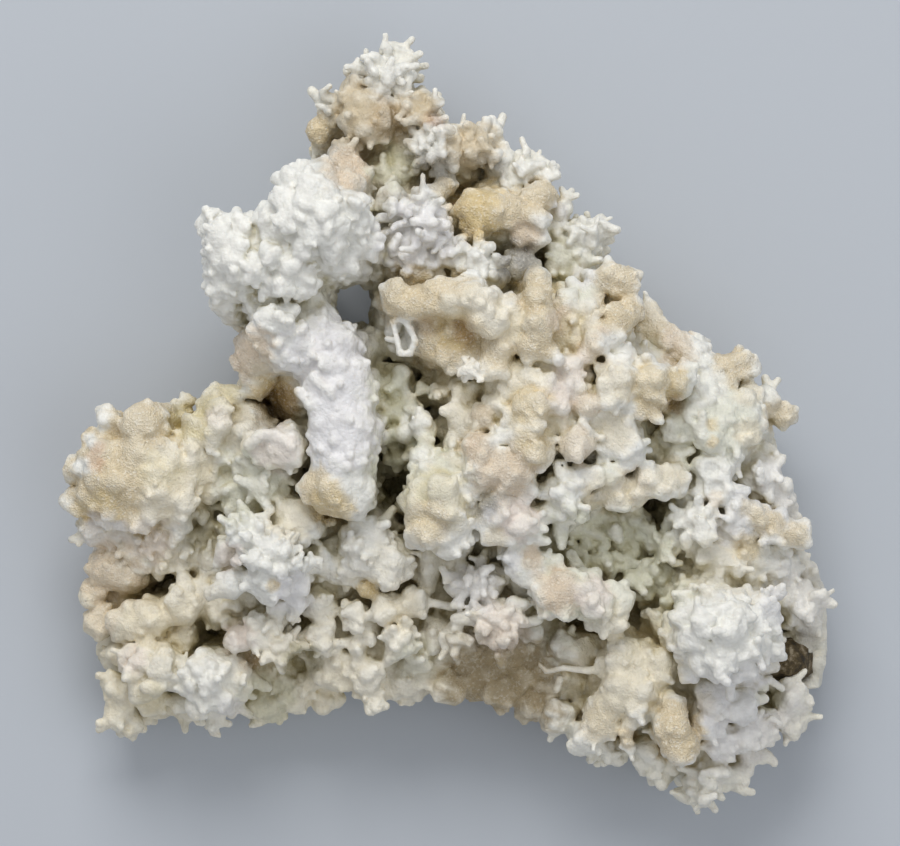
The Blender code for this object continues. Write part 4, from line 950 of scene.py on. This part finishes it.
def calcite_material():
    """Milky calcite: tinted from the mesh, satin where it is white, and sugary with painted glints where it
    is tan.
    """
    material, tree, shader, placed = new_material("calcite")
    shader.subsurface_method = "BURLEY"
    shader.inputs["Subsurface Weight"].default_value = 0.4
    shader.inputs["Subsurface Radius"].default_value = (1.0, 0.84, 0.6)
    shader.inputs["Subsurface Scale"].default_value = 0.0022
    shader.inputs["Specular IOR Level"].default_value = 0.35
    tint = mesh_value(tree, "tint", "Color")
    grain = mesh_value(tree, "grain", "Fac")

    nodules = add_node(tree, "ShaderNodeTexVoronoi", placed, Scale=480.0)
    grains = add_node(tree, "ShaderNodeTexVoronoi", placed, Scale=1300.0)
    mottle = add_node(tree, "ShaderNodeTexNoise", placed, Scale=220.0, Detail=3.0)
    fine = add_node(tree, "ShaderNodeTexNoise", placed, Scale=900.0, Detail=2.0)

    shade = add_node(
        tree, "ShaderNodeMapRange", [("Value", mottle.outputs["Fac"])],
        From_Min=0.3, From_Max=0.7, To_Min=0.86, To_Max=1.05,
    )
    toned = tree.nodes.new("ShaderNodeMix")
    toned.data_type = "RGBA"
    toned.blend_type = "MULTIPLY"
    toned.inputs["Factor"].default_value = 1.0
    tree.links.new(tint, toned.inputs[6])
    tree.links.new(shade.outputs["Result"], toned.inputs[7])

    # Painted glints: bright specks mixed into the colour where the surface is sugary
    painted_glint = add_node(
        tree, "ShaderNodeMapRange", [("Value", grains.outputs["Color"])],
        From_Min=0.62, From_Max=0.95, To_Max=0.5,
    )
    share = tree.nodes.new("ShaderNodeMath")
    share.operation = "MULTIPLY"
    tree.links.new(painted_glint.outputs["Result"], share.inputs[0])
    tree.links.new(grain, share.inputs[1])
    with_painted_glints = tree.nodes.new("ShaderNodeMix")
    with_painted_glints.data_type = "RGBA"
    with_painted_glints.inputs[7].default_value = (0.95, 0.92, 0.85, 1)
    tree.links.new(share.outputs["Value"], with_painted_glints.inputs["Factor"])
    tree.links.new(toned.outputs[2], with_painted_glints.inputs[6])
    tree.links.new(with_painted_glints.outputs[2], shader.inputs["Base Color"])

    rough = add_node(tree, "ShaderNodeMapRange", [("Value", grain)], To_Min=0.5, To_Max=0.4)
    tree.links.new(rough.outputs["Result"], shader.inputs["Roughness"])

    smoother = add_node(tree, "ShaderNodeMapRange", [("Value", grain)], To_Min=0.4, To_Max=0.2)
    sharper = add_node(tree, "ShaderNodeMapRange", [("Value", grain)], To_Min=0.1, To_Max=0.75)
    lobed = add_node(
        tree, "ShaderNodeBump",
        [("Strength", smoother.outputs["Result"]), ("Height", nodules.outputs["Distance"])], Distance=0.0012,
    )
    lobed.invert = True
    sugar = add_node(
        tree, "ShaderNodeBump",
        [
            ("Strength", sharper.outputs["Result"]),
            ("Height", grains.outputs["Distance"]),
            ("Normal", lobed.outputs["Normal"]),
        ],
        Distance=0.0008,
    )
    satin = add_node(
        tree, "ShaderNodeBump", [("Height", fine.outputs["Fac"]), ("Normal", sugar.outputs["Normal"])],
        Strength=0.5, Distance=0.0005,
    )
    tree.links.new(satin.outputs["Normal"], shader.inputs["Normal"])
    return material


def rock_material():
    """Dark brown rock with rusty and grey crumbs."""
    material, tree, shader, placed = new_material("host_rock")
    shader.inputs["Roughness"].default_value = 0.8
    crumbs = add_node(tree, "ShaderNodeTexNoise", placed, Scale=260.0, Detail=8.0, Roughness=0.7)
    ramp = add_node(tree, "ShaderNodeValToRGB", [("Fac", crumbs.outputs["Fac"])])
    ramp.color_ramp.elements[0].position = 0.38
    ramp.color_ramp.elements[0].color = (*linear((40, 34, 22)), 1)
    ramp.color_ramp.elements[1].position = 0.66
    ramp.color_ramp.elements[1].color = (*linear((150, 138, 116)), 1)
    middle = ramp.color_ramp.elements.new(0.52)
    middle.color = (*linear((86, 72, 44)), 1)
    tree.links.new(ramp.outputs["Color"], shader.inputs["Base Color"])
    bump = add_node(tree, "ShaderNodeBump", [("Height", crumbs.outputs["Fac"])], Strength=0.9, Distance=0.001)
    tree.links.new(bump.outputs["Normal"], shader.inputs["Normal"])
    return material


def build_calcite():
    """The skins of all the regions, which together stand for the calcite."""
    material = calcite_material()
    cluster = Cluster()
    draw = np.random.default_rng(99)
    tip = linear((244, 244, 240))
    sugary_tip = linear((240, 232, 212))
    for name in REGIONS:
        points, triangles, quads = cluster.skin_of(name)
        obj = add_mesh(f"calcite_{name}", points, triangles, quads)
        out = normals_of(obj.data)
        colour, grain = tinted(points)
        # Painted shade: the colour is darkened and warmed where the space round a point is crowded with
        # solid, in the hollows, and on the lowest parts near the floor
        hollow_shade = smooth_share(cluster.crowding(points + out * 6.0, 9.0), 0.3, 0.7)
        low_shade = 1 - smooth_share(points[:, 2], 30, 72)
        raised = smooth_share(cluster.proud(points), 0.3, 3.5)[:, None] * TIP_SHARE
        colour += raised * (tip + grain[:, None] * (sugary_tip - tip) - colour)
        colour *= 1 - LOW_SHADE_SHARE * low_shade[:, None] * (1 - LOW_SHADE_COLOUR)
        colour *= 1 - HOLLOW_SHADE_SHARE * hollow_shade[:, None] * (1 - HOLLOW_SHADE_COLOUR)
        points = points + out * (grain * draw.normal(0, GRAIN_HEIGHT, len(points)))[:, None]
        obj.data.vertices.foreach_set("co", (points * MM).astype(np.float32).ravel())
        layer = obj.data.attributes.new("tint", "FLOAT_COLOR", "POINT")
        layer.data.foreach_set("color", np.c_[colour, np.ones(len(points))].astype(np.float32).ravel())
        layer = obj.data.attributes.new("grain", "FLOAT", "POINT")
        layer.data.foreach_set("value", grain.astype(np.float32))
        obj.data.materials.append(material)
        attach(obj, "root")
        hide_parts("calcite")


def build_stage():
    """A plain pale floor."""
    bpy.ops.mesh.primitive_plane_add(size=8)
    floor = bpy.context.object
    floor.name = "floor"
    material = bpy.data.materials.new("floor")
    material.use_nodes = True
    shader = material.node_tree.nodes["Principled BSDF"]
    shader.inputs["Base Color"].default_value = (*linear((188, 194, 202)), 1)
    shader.inputs["Roughness"].default_value = 0.9
    floor.data.materials.append(material)


def add_light(name, place, size, power, colour):
    """A soft square light that shines at the cluster."""
    light = bpy.data.lights.new(name, "AREA")
    light.size = size
    light.energy = power
    light.color = colour
    obj = bpy.data.objects.new(name, light)
    obj.location = place
    obj.rotation_mode = "QUATERNION"
    obj.rotation_quaternion = (Vector((0, 0, 0.05)) - Vector(place)).to_track_quat("-Z", "Y")
    bpy.context.scene.collection.objects.link(obj)


def build_light():
    """Soft light from above the top edge, and pale light all round."""
    add_light("key", (-0.25, 1.5, 1.6), 1.3, 28, (1.0, 0.985, 0.96))
    add_light("fill", (0.9, -0.6, 1.9), 1.6, 6, (0.95, 0.97, 1.0))
    world = bpy.data.worlds.new("studio")
    bpy.context.scene.world = world
    world.use_nodes = True
    world.node_tree.nodes["Background"].inputs["Color"].default_value = (0.97, 0.98, 1.0, 1)
    world.node_tree.nodes["Background"].inputs["Strength"].default_value = 0.47
    bpy.context.scene.view_settings.view_transform = "Standard"


def build_camera():
    """Straight above the cluster, as the photograph looks at it."""
    distance = 3.0
    focus_height = 0.06
    frame_width = 0.36
    middle = (0.0028, 0.0016)
    camera = bpy.data.cameras.new("camera")
    camera.sensor_width = 36
    camera.lens = 36 * (distance - focus_height) / frame_width
    camera.clip_end = 50
    obj = bpy.data.objects.new("camera", camera)
    obj.location = (*middle, distance)
    bpy.context.scene.collection.objects.link(obj)
    bpy.context.scene.camera = obj


build_calcite()
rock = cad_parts["host_rock"]
rock.data.materials.clear()
rock.data.materials.append(rock_material())
build_stage()
build_light()
build_camera()
